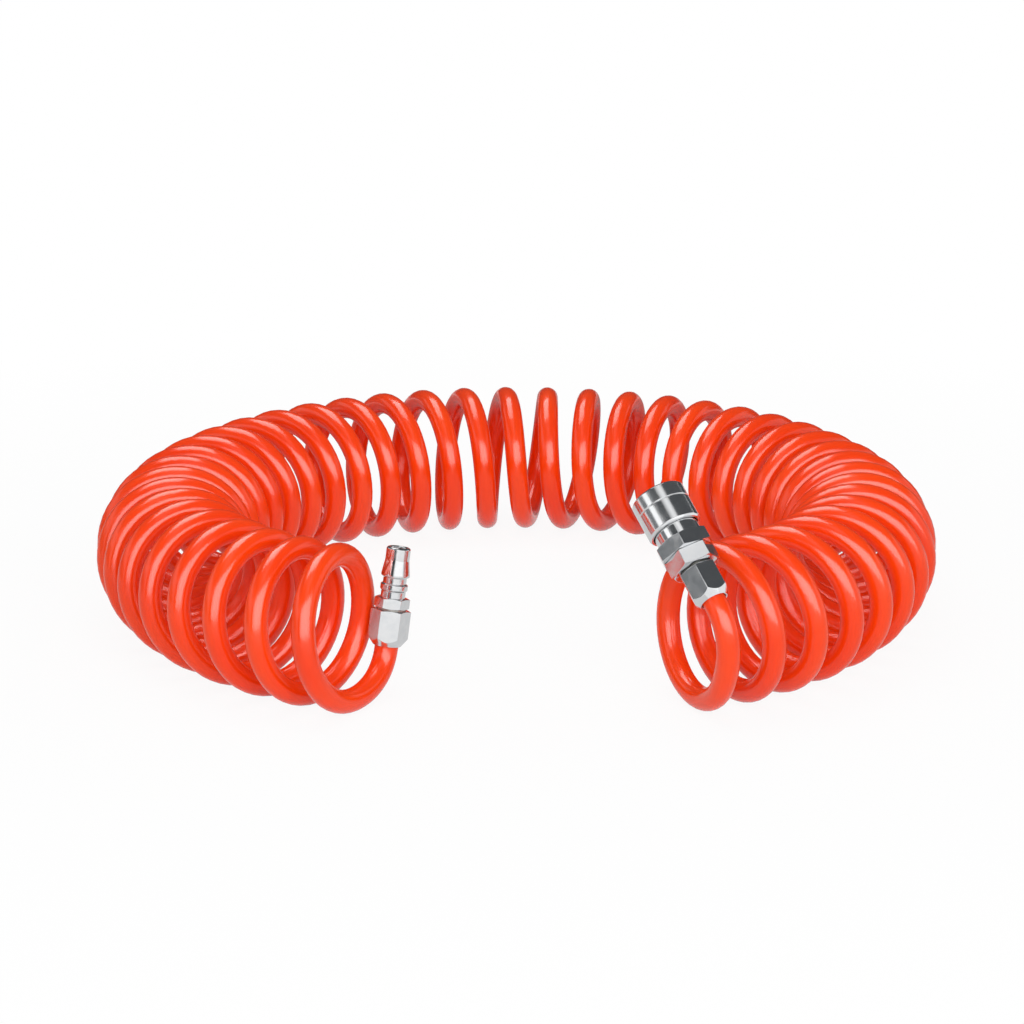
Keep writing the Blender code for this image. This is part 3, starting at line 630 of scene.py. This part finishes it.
def hose_nut(name, axis, hex_end, turn, finish):
    start = hex_end + NUT_JOINT
    end = start + NUT_LENGTH
    land = NUT_FLATS / 2 - HEX_LAND
    seat = hex_end + HOSE_SEAT + 0.6
    outline = [
        (NUT_THREAD, start), (land, start), *chamfer(start, land, LEAN),
        *chamfer(end, NUT_RIM, -CONE_LEAN), (NUT_RIM, end), (HOSE_PASS + 0.2, end), (HOSE_PASS, end - 0.2),
        (HOSE_PASS, seat), (NUT_THREAD, seat),
    ]
    return lathe(name, softened(outline, 0.2), axis, hexagon_rays(NUT_FLATS, turn), finish)


plug_nut = hose_nut("plug_nut", plug_axis, PLUG_HEX_END, FLAT_TO_FRONT, handled_plate)
stand_for(plug_nut, "plug_hose_nut", ROOT)
socket_nut = hose_nut("socket_nut", socket_axis, ADAPTER_HEX_END, CORNER_TO_SIDE, flat_plate)
stand_for(socket_nut, "socket_hose_nut", ROOT)

# %% [markdown]
# ## Cuts across a turned piece
# A lathe can't make a hole or a slot across the axis: a drill or a saw does that. In Blender a Boolean does
# it. A cutter is made, subtracted and thrown away. The solver's tolerances are meant for things metres in
# size, so the piece is cut a thousand times larger, and unturned, and then put back.

# %% Cut with a Boolean
def cut_away(piece, body):
    """Subtracts a mesh, made in the piece's own space, and keeps the result as the piece's mesh."""
    mesh = bpy.data.meshes.new("cutter")
    body.to_mesh(mesh)
    body.free()
    cutter = bpy.data.objects.new("cutter", mesh)
    bpy.context.scene.collection.objects.link(cutter)
    place = piece.matrix_world.copy()
    piece.matrix_world = Matrix.Identity(4)
    piece.data.transform(Matrix.Scale(1 / MM, 4))
    mesh.transform(Matrix.Scale(1 / MM, 4))
    modifier = piece.modifiers.new("cut", "BOOLEAN")
    modifier.solver = "EXACT"
    modifier.object = cutter
    piece.modifiers.move(len(piece.modifiers) - 1, 0)
    piece.modifiers["flat_faces_stay_flat"].show_viewport = False
    graph = bpy.context.evaluated_depsgraph_get()
    result = bpy.data.meshes.new_from_object(piece.evaluated_get(graph))
    result.transform(Matrix.Scale(MM, 4))
    result.set_sharp_from_angle(angle=SHARP_ANGLE)
    piece.modifiers.remove(modifier)
    piece.modifiers["flat_faces_stay_flat"].show_viewport = True
    piece.data = result
    piece.matrix_world = place
    bpy.data.objects.remove(cutter)


# %% [markdown]
# ## Socket body
# The body is a tube for the plug's nose, with a bright neck and a big hexagon behind the sleeve. Six round
# holes in its front let the balls through. The drills for them stand where the balls will sit, so one
# function gives both their places.

# %% Make the socket body
BODY_RADIUS = 8.4
NECK_RADIUS = 9.6
RING_SEAT = 7.4
RING_SEAT_AT = 0.5
RING_SEAT_END = 1.8
BODY_HEX_AT = 22.942
BODY_HEX_END = 29.642
BODY_HEX_FLATS = 21.8
FRONT_LEAN = 0.55
JOINT_LEAN = 0.12
NECK_AT = 15.442
SEAL_BORE_AT = 16.342
NOSE_SEAL_AT = 18.492
NOSE_SEAL_ROOM = 1.25
MOUTH_BORE = 6.35
SEAL_BORE = 5.4
CHAMBER_RADIUS = 6.9
COUNTERBORE_RADIUS = 8.5
VALVE_SEAT = 20.642
COUNTERBORE_AT = VALVE_SEAT + 3.4
BALL_AT = 6.942
BALL_ORBIT = 6.7
BALL_COUNT = 6
DRILL_RADIUS = 1.9
DRILL_DEPTH = 4.2
DRILL_SIDES = 32


def ball_place(index):
    """The place of a ball in the socket's own space, with +z turned outward."""
    turned = Matrix.Rotation(2 * pi * index / BALL_COUNT, 4, "Z") @ Matrix.Rotation(pi / 2, 4, "Y")
    along = Matrix.Translation((0, 0, BALL_AT * MM))
    out = Matrix.Translation((0, 0, BALL_ORBIT * MM))
    return along @ turned @ out


body_land = BODY_HEX_FLATS / 2 - HEX_LAND
groove_at = NOSE_SEAL_AT - NOSE_SEAL_ROOM
groove_end = NOSE_SEAL_AT + NOSE_SEAL_ROOM
body_outline = [
    (BODY_RADIUS - 0.3, 0.0), (BODY_RADIUS, 0.3), (BODY_RADIUS, RING_SEAT_AT), (RING_SEAT, RING_SEAT_AT),
    (RING_SEAT, RING_SEAT_END), (BODY_RADIUS, RING_SEAT_END), (BODY_RADIUS, NECK_AT),
    (NECK_RADIUS, NECK_AT), (NECK_RADIUS, BODY_HEX_AT), (body_land, BODY_HEX_AT),
    *chamfer(BODY_HEX_AT, body_land, FRONT_LEAN), *chamfer(BODY_HEX_END, body_land, -JOINT_LEAN),
    (body_land, BODY_HEX_END), (COUNTERBORE_RADIUS, BODY_HEX_END), (COUNTERBORE_RADIUS, COUNTERBORE_AT),
    (CHAMBER_RADIUS, COUNTERBORE_AT), (CHAMBER_RADIUS, VALVE_SEAT), (SEAL_BORE, VALVE_SEAT),
    (SEAL_BORE, groove_end), (CHAMBER_RADIUS, groove_end), (CHAMBER_RADIUS, groove_at),
    (SEAL_BORE, groove_at), (SEAL_BORE, SEAL_BORE_AT), (MOUTH_BORE, SEAL_BORE_AT - 0.6),
    (MOUTH_BORE, 0.6), (MOUTH_BORE + 0.6, 0.0),
]
body_rays = hexagon_rays(BODY_HEX_FLATS, CORNER_TO_SIDE)
socket_body = lathe("socket_barrel", softened(body_outline, 0.15), socket_axis, body_rays, turned_plate)
drills = bmesh.new()
for index in range(BALL_COUNT):
    bmesh.ops.create_cone(
        drills, cap_ends=True, segments=DRILL_SIDES, radius1=DRILL_RADIUS * MM, radius2=DRILL_RADIUS * MM,
        depth=DRILL_DEPTH * MM, matrix=ball_place(index)
    )
cut_away(socket_body, drills)
stand_for(socket_body, "socket_body", ROOT)

# %% [markdown]
# ## Sleeve
# The sleeve is the ring that a hand pulls back to let the plug go. Outside it is plain, with one fine
# groove and eased ends that catch the light. Inside, a land holds the balls in and a recess lets
# them out when the sleeve is pulled.

# %% Make the sleeve
SLEEVE_RADIUS = 11.55
SLEEVE_AT = 0.3
SLEEVE_END = 17.842
FINE_GROOVE = 11.25
LAND_RADIUS = 8.7
LAND_AT = 6.442
LAND_END = 8.642
RECESS_RADIUS = 9.6
RECESS_AT = 2.5
STOP_AT = 1.8
RING_ROOM = 9.9
SPRING_ROOM = 10.0
sleeve_outline = [
    (SLEEVE_RADIUS - 0.7, SLEEVE_AT), (SLEEVE_RADIUS, SLEEVE_AT + 0.7), (SLEEVE_RADIUS, 6.8),
    (FINE_GROOVE, 7.0), (FINE_GROOVE, 7.2), (SLEEVE_RADIUS, 7.4), (SLEEVE_RADIUS, SLEEVE_END - 0.9),
    (SLEEVE_RADIUS - 0.6, SLEEVE_END), (SPRING_ROOM, SLEEVE_END), (SPRING_ROOM, LAND_END),
    (LAND_RADIUS, LAND_END), (LAND_RADIUS, LAND_AT), (RECESS_RADIUS, LAND_AT), (RECESS_RADIUS, RECESS_AT),
    (LAND_RADIUS, RECESS_AT), (LAND_RADIUS, STOP_AT), (RING_ROOM, STOP_AT), (RING_ROOM, SLEEVE_AT),
]
sleeve = lathe("pull_sleeve", softened(sleeve_outline, 0.2), socket_axis, round_rays(), handled_plate)
stand_for(sleeve, "sleeve", "sleeve")

# %% [markdown]
# ## Adapter
# The adapter screws into the back of the body, shuts the valve in and carries the hose. Its hexagon
# shows between the body and the hose nut, turned so that one flat looks up at the light.

# %% Make the adapter
ADAPTER_AT = COUNTERBORE_AT + 1.4
SPRING_FLOOR = VALVE_SEAT + 11.7
SPRING_POCKET = 6.4
ADAPTER_THREAD = 8.2
ADAPTER_HEX_FLATS = 19.2
adapter_land = ADAPTER_HEX_FLATS / 2 - HEX_LAND
adapter_outline = [
    (ADAPTER_THREAD - 0.3, ADAPTER_AT), (ADAPTER_THREAD, ADAPTER_AT + 0.3),
    (ADAPTER_THREAD, ADAPTER_HEX_AT), (adapter_land, ADAPTER_HEX_AT),
    *chamfer(ADAPTER_HEX_AT, adapter_land, JOINT_LEAN), *chamfer(ADAPTER_HEX_END, adapter_land, -LEAN),
    (adapter_land, ADAPTER_HEX_END), *hose_tail(ADAPTER_HEX_END),
    (AIR_RADIUS, SPRING_FLOOR), (SPRING_POCKET, SPRING_FLOOR), (SPRING_POCKET, ADAPTER_AT),
]
adapter_rays = hexagon_rays(ADAPTER_HEX_FLATS, FLAT_TO_FRONT)
adapter = lathe("tail_adapter", softened(adapter_outline, 0.15), socket_axis, adapter_rays, flat_plate)
grease_and_shade_thread(adapter, ADAPTER_HEX_END)
stand_for(adapter, "adapter", ROOT)

# %% [markdown]
# ## Steel
# The small parts inside are bare steel: a split ring and two springs of drawn wire, and six ground balls.
# Ground balls are bright and drawn wire is duller. One function makes both finishes, since only the
# roughness and the size of the marks differ.

# %% Steel finishes
def steel(name, dull, grain):
    """Bare steel: dull is its roughness and grain the size of its marks."""
    material, tree, shader = new_finish(name)
    marks = clouded(tree, shader, grain, 5.0, [(0.3, "#B4B5B8"), (0.7, "#C6C7C9")])
    uneven_gloss(tree, shader, marks, dull * 0.7, dull * 1.3)
    shader.inputs["Metallic"].default_value = 1.0
    return material


spring_steel = steel("drawn_spring_steel", 0.3, 0.4 * MM)
ball_steel = steel("ground_bearing_steel", 0.1, 1.5 * MM)
print("steels:", spring_steel.name, ball_steel.name)

# %% [markdown]
# ## Ring and balls
# The split ring sits in its groove at the front and stops the sleeve. The balls sit in the six holes and
# drop into the plug's groove. The ring is turned like the rest and a small block is cut from it. The
# balls are icospheres, whose even triangles show no poles in a mirror finish.

# %% Make the ring and the balls
RING_INNER = 7.7
RING_OUTER = 9.3
RING_AT = 0.8
RING_END = 1.5
RING_SPLIT = 2.0
BALL_RADIUS = 1.6
BALL_ROUNDNESS = 4
ring_outline = [(RING_INNER, RING_AT), (RING_OUTER, RING_AT), (RING_OUTER, RING_END), (RING_INNER, RING_END)]
ring = lathe("split_ring", softened(ring_outline, 0.1), socket_axis, round_rays(), spring_steel)
gap = bmesh.new()
bmesh.ops.create_cube(gap, matrix=Matrix.LocRotScale(
    Vector((0, -(RING_INNER + RING_OUTER) / 2, (RING_AT + RING_END) / 2)) * MM,
    None,
    Vector((RING_SPLIT, 4.0, 2.0)) * MM,
))
cut_away(ring, gap)
stand_for(ring, "sleeve_ring", ROOT)

for index in range(BALL_COUNT):
    name = f"lock_ball_{index + 1}"
    ball_body = bmesh.new()
    bmesh.ops.create_icosphere(ball_body, subdivisions=BALL_ROUNDNESS, radius=BALL_RADIUS * MM)
    ball = closed_piece(f"hard_ball_{index + 1}", ball_body)
    ball.data.materials.append(ball_steel)
    ball.matrix_world = socket_axis @ ball_place(index)
    stand_for(ball, name, name)

# %% [markdown]
# ## Springs
# One spring pushes the sleeve forward and one shuts the valve. A spring is a tube swept along a helix, made
# with the same function as the hose. Each spring then gets a mesh of its own; nothing here shortens it as
# the sleeve or the valve slides.

# %% Make the springs
SPRING_POINTS_PER_TURN = 40
WIRE_SIDES = 12
CUT_WIRE = 0.8


def spring(name, radius, wire, start, end, turns):
    steps = round(turns * SPRING_POINTS_PER_TURN)
    line = []
    for i in range(steps + 1):
        clock = 2 * pi * turns * i / steps
        z = start + wire / 2 + (end - start - wire) * i / steps
        line.append(socket_axis @ (Vector((radius * cos(clock), radius * sin(clock), z)) * MM))
    rim = wire / 2 * MM
    cut_rim = rim * CUT_WIRE
    sections = [(0, 0.0), (0, cut_rim)] + [(i, rim) for i in range(1, steps)]
    sections += [(steps, cut_rim), (steps, 0.0)]
    piece = tube(name, line, sections, WIRE_SIDES)
    piece.data.materials.append(spring_steel)
    return piece


def shorten(piece):
    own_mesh(piece)


SLEEVE_SPRING_LENGTH = 6.2
VALVE_SPRING_LENGTH = 8.5
SPRING_END = NECK_AT - 0.3
SPRING_START = SPRING_END - SLEEVE_SPRING_LENGTH
VALVE_SPRING_END = SPRING_FLOOR - 0.3
VALVE_SPRING_START = VALVE_SPRING_END - VALVE_SPRING_LENGTH
sleeve_spring = spring(
    "sleeve_return_spring", radius=9.2, wire=0.8, start=SPRING_START, end=SPRING_END, turns=3.5
)
stand_for(sleeve_spring, "sleeve_spring", ROOT)
shorten(sleeve_spring)
valve_spring = spring(
    "valve_return_spring", radius=5.0, wire=0.9, start=VALVE_SPRING_START, end=VALVE_SPRING_END, turns=4.5
)
stand_for(valve_spring, "valve_spring", ROOT)
shorten(valve_spring)

# %% [markdown]
# ## Brass and rubber
# The valve is brass, turned bright and darkened a little since. The seals are black nitrile rubber, which is
# dull with a faint bloom. Both show only down the mouth of the socket, so fine noise is enough for them.

# %% Brass and rubber finishes
TARNISH_SIZE = 1.2 * MM
BLOOM_SIZE = 0.8 * MM
brass, tree, shader = new_finish("turned_brass")
tarnish = clouded(tree, shader, TARNISH_SIZE, 5.0, [(0.3, "#C9A24E"), (0.7, "#E0BE6C")])
uneven_gloss(tree, shader, tarnish, 0.18, 0.36)
shader.inputs["Metallic"].default_value = 1.0

nitrile, tree, shader = new_finish("moulded_nitrile_rubber")
bloom = clouded(tree, shader, BLOOM_SIZE, 4.0, [(0.35, "#141416"), (0.75, "#222224")])
skin = add(tree, "ShaderNodeBump", inputs={"Height": bloom, "Strength": 0.2, "Distance": 0.02 * MM})
tree.links.new(skin.outputs["Normal"], shader.inputs["Normal"])
shader.inputs["Roughness"].default_value = 0.55
shader.inputs["IOR"].default_value = 1.52
print("inner finishes:", brass.name, nitrile.name)

# %% [markdown]
# ## Valve and seals
# The valve is a poppet that the plug's nose pushes open. Its tip has a cross of slots, so that air can pass
# while the nose rests on it. The slots are sawn one after the other, as on the real one. A round seal
# grips the plug's nose, and two flat ones close the valve and the joint to the adapter.

# %% Make the valve and the seals
SLOT = 1.6
SAW_LENGTH = 20.0
VALVE_NOSE = 4.3
VALVE_HEAD = 5.9
VALVE_STEM = 1.8
VALVE_NOSE_AT = VALVE_SEAT - 2.0
VALVE_HEAD_AT = VALVE_SEAT + 1.2
VALVE_HEAD_END = VALVE_SEAT + 2.6
VALVE_STEM_END = VALVE_SEAT + 6.8
valve_outline = [
    (0.0, VALVE_NOSE_AT), (VALVE_NOSE, VALVE_NOSE_AT), (VALVE_NOSE, VALVE_HEAD_AT),
    (VALVE_HEAD, VALVE_HEAD_AT), (VALVE_HEAD, VALVE_HEAD_END), (VALVE_STEM, VALVE_HEAD_END),
    (VALVE_STEM, VALVE_STEM_END), (0.0, VALVE_STEM_END),
]
valve = lathe("valve_poppet", softened(valve_outline, 0.2), socket_axis, round_rays(), brass)
for size in ((SAW_LENGTH, SLOT, SLOT), (SLOT, SAW_LENGTH, SLOT)):
    place = Matrix.LocRotScale(Vector((0, 0, VALVE_NOSE_AT)) * MM, None, Vector(size) * MM)
    slot = bmesh.new()
    bmesh.ops.create_cube(slot, matrix=place)
    cut_away(valve, slot)
stand_for(valve, "valve", "valve")

SEAL_CORD = 0.95
SEAL_MIDDLE = 5.65
CORD_SIDES = 24
round_cord = []
for k in range(CORD_SIDES):
    clock = 2 * pi * k / CORD_SIDES
    round_cord.append((SEAL_MIDDLE + SEAL_CORD * cos(clock), NOSE_SEAL_AT + SEAL_CORD * sin(clock)))
plug_seal = lathe("nose_o_ring", round_cord, socket_axis, round_rays(), nitrile)
stand_for(plug_seal, "plug_seal", ROOT)


def flat_seal(name, inner, outer, start, end):
    outline = [(inner, start), (outer, start), (outer, end), (inner, end)]
    return lathe(name, softened(outline, 0.12), socket_axis, round_rays(), nitrile)


valve_seal = flat_seal(
    "valve_washer", inner=4.6, outer=VALVE_HEAD, start=VALVE_SEAT + 0.3, end=VALVE_SEAT + 0.9
)
stand_for(valve_seal, "valve_seal", "valve")
adapter_seal = flat_seal(
    "adapter_washer", inner=6.9, outer=ADAPTER_THREAD, start=COUNTERBORE_AT + 0.3, end=COUNTERBORE_AT + 1.1
)
stand_for(adapter_seal, "adapter_seal", ROOT)

# %% [markdown]

# %% [markdown]
# ## The studio's cards
# All of the studio is flat cards, the floor among them, with plain glowing faces. A Light Path node tells
# which rays look at a card and which only gather light from it, so that a card can look white without
# lighting the hose too much.

# %% Studio helpers
def stage_card(name, corners, material):
    """A flat card of the studio, from its corner points in metres."""
    mesh = bpy.data.meshes.new(name)
    mesh.from_pydata(corners, [], [tuple(range(len(corners)))])
    mesh.materials.append(material)
    card = bpy.data.objects.new(name, mesh)
    bpy.context.scene.collection.objects.link(card)
    return card


def bare_finish(name):
    """A material with only an output, for what is not a Principled surface."""
    material, tree, shader = new_finish(name)
    tree.nodes.remove(shader)
    return material, tree, tree.nodes["Material Output"]


def seen_rays(tree):
    """1 for the rays of the camera, of mirrors and of clear things, 0 for the light on all else."""
    rays = add(tree, "ShaderNodeLightPath")
    mirror = add(tree, "ShaderNodeMath", {"operation": "MAXIMUM"}, {
        0: rays.outputs["Is Glossy Ray"], 1: rays.outputs["Is Transmission Ray"],
    })
    seen = add(tree, "ShaderNodeMath", {"operation": "MAXIMUM"}, {
        0: rays.outputs["Is Camera Ray"], 1: mirror.outputs["Value"],
    })
    return seen.outputs["Value"]


# %% [markdown]
# ## Floor
# The hose stands on a plain white sweep. The floor is partly lit and partly glowing for the camera and for
# mirrors, which makes it almost white while the soft shadow stays. Away from the hose it glows fully, so
# that it runs out to plain white. For all other light it is white paint, and throws no more light on
# the hose than a real floor.

# %% Make the floor
FLOOR_SIZE = 14.0
NEAR_GLOW = 0.92
NEAR = 0.2
FAR = 0.6
floor_paint, tree, output = bare_finish("white_studio_paint")
place = add(tree, "ShaderNodeTexCoord")
away = add(tree, "ShaderNodeVectorMath", {"operation": "LENGTH"}, {0: place.outputs["Object"]})
fade = add(tree, "ShaderNodeMapRange", inputs={
    "Value": away.outputs["Value"], "From Min": NEAR, "From Max": FAR, "To Min": NEAR_GLOW, "To Max": 1.0,
})
share = add(tree, "ShaderNodeMath", {"operation": "MULTIPLY"}, {
    0: seen_rays(tree), 1: fade.outputs["Result"],
})
paint = add(tree, "ShaderNodeBsdfDiffuse", inputs={"Color": linear("#F2F2F2")})
glow = add(tree, "ShaderNodeEmission", inputs={"Color": linear("#FFFFFF"), "Strength": 1.0})
mixed = add(tree, "ShaderNodeMixShader", inputs={
    0: share.outputs["Value"], 1: paint.outputs["BSDF"], 2: glow.outputs["Emission"],
})
tree.links.new(mixed.outputs["Shader"], output.inputs["Surface"])
half = FLOOR_SIZE / 2
floor_corners = [(-half, -half, 0), (half, -half, 0), (half, half, 0), (-half, half, 0)]
stage_card("white_sweep", floor_corners, floor_paint)
print("floor:", FLOOR_SIZE, "m across")

# %% [markdown]
# ## Light
# Two soft boxes light the hose, one overhead and one beside the camera, and the white room fills the
# shadows. An area lamp is the plain way to make a soft box. These two only light the colour of things;
# what gloss and chrome mirror is set up apart, with the cards of the next step.

# %% Hang the soft boxes
def soft_box(name, place, aim, width, depth, radiance):
    """An area lamp whose brightness is given as the camera would see it, white being 1."""
    data = bpy.data.lights.new(name, "AREA")
    data.shape = "RECTANGLE"
    data.size = width
    data.size_y = depth
    data.energy = radiance * pi * width * depth
    lamp = bpy.data.objects.new(name, data)
    lamp.location = place
    lamp.rotation_euler = (Vector(aim) - Vector(place)).to_track_quat("-Z", "Y").to_euler()
    lamp.visible_camera = False
    lamp.visible_glossy = False
    bpy.context.scene.collection.objects.link(lamp)


LAMP_AIM = (0.0, 0.0, 0.03)
soft_box("top_soft_box", (-0.2, 0.0, 1.3), LAMP_AIM, width=1.0, depth=1.0, radiance=1.5)
soft_box("front_soft_box", (0.2, -1.4, 0.7), LAMP_AIM, width=1.2, depth=0.9, radiance=3.25)
bpy.context.scene.view_settings.view_transform = "Standard"

# %% [markdown]
# ## Cards round the gloss
# A mirror in an all-white room looks like white paint. Photographers stand dark cards round chrome, so that
# some flats go dark and edges get a line. These do the same. Dark ones hang overhead, behind and on the
# left, a narrow one draws the line on the plug's nose, and white ones stand in front and far on the left
# and hang overhead.
# Two grey mats lie under and behind the hose, so that the undersides and the rims of the loops stay
# red: they are painted shade of the floor near the hose. Only mirrors see the cards, and each glows at the
# tone that it should have there.

# %% Stand the cards
def only_in_mirrors(card):
    """Hides a card from the camera and keeps it from lighting or shading anything."""
    card.visible_camera = False
    card.visible_diffuse = False
    card.visible_shadow = False


def mirror_card(name, tone, corners, strength=1.0):
    """A card that only gloss and mirrors see; a strength over 1 is brighter than white paper."""
    material, tree, output = bare_finish(name + "_face")
    face = add(tree, "ShaderNodeEmission", inputs={"Color": linear(tone), "Strength": strength})
    tree.links.new(face.outputs["Emission"], output.inputs["Surface"])
    only_in_mirrors(stage_card(name, corners, material))
    return face, tree


def level_card(x0, x1, y0, y1, height):
    return [(x0, y0, height), (x1, y0, height), (x1, y1, height), (x0, y1, height)]


def upright_card(start, end, low, high):
    return [(*start, low), (*end, low), (*end, high), (*start, high)]


BACK = 2.4
LEFT = -2.2
CARD_TOP = 1.4
SHADE_MAT_HEIGHT = 0.2 * MM
LIT_PAPER = 1.3
mirror_card("overhead_card", "#545658", level_card(-2.1, BACK, -1.36, BACK, CARD_TOP))
mirror_card("back_card", "#4A4C4E", upright_card((-4, BACK), (4, BACK), 0, CARD_TOP))
mirror_card("left_card", "#7C7E80", upright_card((LEFT, -1), (LEFT, BACK), 0, 0.62))
mirror_card("line_card", "#303234", upright_card((-0.46, -1.52), (-1.2, -1.08), 0, 0.75))
# Painted shade: the floor's shade under and behind the hose, as mirrors see it.
mirror_card("mirrored_floor_shade_near", "#DDDDDD", level_card(-0.5, 0.5, -0.3, 0.17, SHADE_MAT_HEIGHT))
mirror_card("mirrored_floor_shade_behind", "#9A9A9A", level_card(-0.5, 0.5, 0.17, 0.9, SHADE_MAT_HEIGHT))
mirror_card("front_panel", "#FFFFFF", upright_card((-0.4, -2.27), (1.91, -1.29), 0.16, 2.0), LIT_PAPER)
mirror_card("left_panel", "#FFFFFF", upright_card((-2.6, -2.3), (-2.6, 0.4), 0.5, 2.3), LIT_PAPER)
mirror_card("top_panel", "#FFFFFF", level_card(-0.75, 0.1, -0.05, 1.1, 1.3), LIT_PAPER)

# %% [markdown]
# Plastic mirrors only a thirtieth of what it faces, so a highlight on the tube needs something far brighter
# than paper, and in chrome that would be a burnt-out patch. Light linking settles it. Two glows, one
# in front and one overhead, are tied to the tube alone and are clear to all else, so that chrome looks
# through them at the cards behind. They are the two highlights on each loop.

# %% Hang the glows for the tube
tube_only = bpy.data.collections.new("lit_by_the_glows")
tube_only.objects.link(hose)


def tube_glow(name, corners, strength):
    """A clear card that glows for the tube alone."""
    material, tree, output = bare_finish(name + "_face")
    clear = add(tree, "ShaderNodeBsdfTransparent")
    light = add(tree, "ShaderNodeEmission", inputs={"Color": linear("#FFFFFF"), "Strength": strength})
    both = add(tree, "ShaderNodeAddShader", inputs={
        0: clear.outputs["BSDF"], 1: light.outputs["Emission"],
    })
    tree.links.new(both.outputs["Shader"], output.inputs["Surface"])
    glow = stage_card(name, corners, material)
    glow.light_linking.receiver_collection = tube_only
    only_in_mirrors(glow)


tube_glow("front_glow", upright_card((-0.75, -1.3), (1.24, -0.84), 0.1, 1.05), 5.7)
tube_glow("top_glow", level_card(-0.7, 0.1, -0.05, 1.02, 1.2), 5.0)

# %% [markdown]
# One more panel hangs in front, over the fittings. Its middle is as bright as paper and it fades towards its
# edges, so the turned sleeve mirrors it as a soft grey band instead of a hard white one.

# %% Hang the fading panel
PANEL_HEIGHT = 1.3
FADE_MIDDLE = (0.0, -0.64, PANEL_HEIGHT)
FADE_FROM = 0.1
FADE_TO = 0.42
MIDDLE_GLOW = 1.08
EDGE_GLOW = 0.45
face, tree = mirror_card("fading_panel", "#FFFFFF", level_card(-0.36, 0.27, -0.97, -0.27, PANEL_HEIGHT))
place = add(tree, "ShaderNodeTexCoord")
away = add(tree, "ShaderNodeVectorMath", {"operation": "DISTANCE"}, {
    0: place.outputs["Object"], 1: FADE_MIDDLE,
})
fade = add(tree, "ShaderNodeMapRange", inputs={
    "Value": away.outputs["Value"], "From Min": FADE_FROM, "From Max": FADE_TO,
    "To Min": MIDDLE_GLOW, "To Max": EDGE_GLOW,
})
tree.links.new(fade.outputs["Result"], face.inputs["Strength"])
print("fading panel:", MIDDLE_GLOW, "to", EDGE_GLOW)

# %% [markdown]
# ## Room
# The room is white all round, so the picture runs out to white at the top and plain sides of chrome stay
# bright. As light it counts only half, which leaves the soft boxes their work.

# %% Paint the room
ROOM_LIGHT = 0.5
world = bpy.data.worlds.new("white_studio")
world.use_nodes = True
bpy.context.scene.world = world
tree = world.node_tree
level = add(tree, "ShaderNodeMapRange", inputs={
    "Value": seen_rays(tree), "To Min": ROOM_LIGHT, "To Max": 1.0,
})
tree.nodes["Background"].inputs["Color"].default_value = linear("#FFFFFF")
tree.links.new(level.outputs["Result"], tree.nodes["Background"].inputs["Strength"])
print("studio:", world.name)
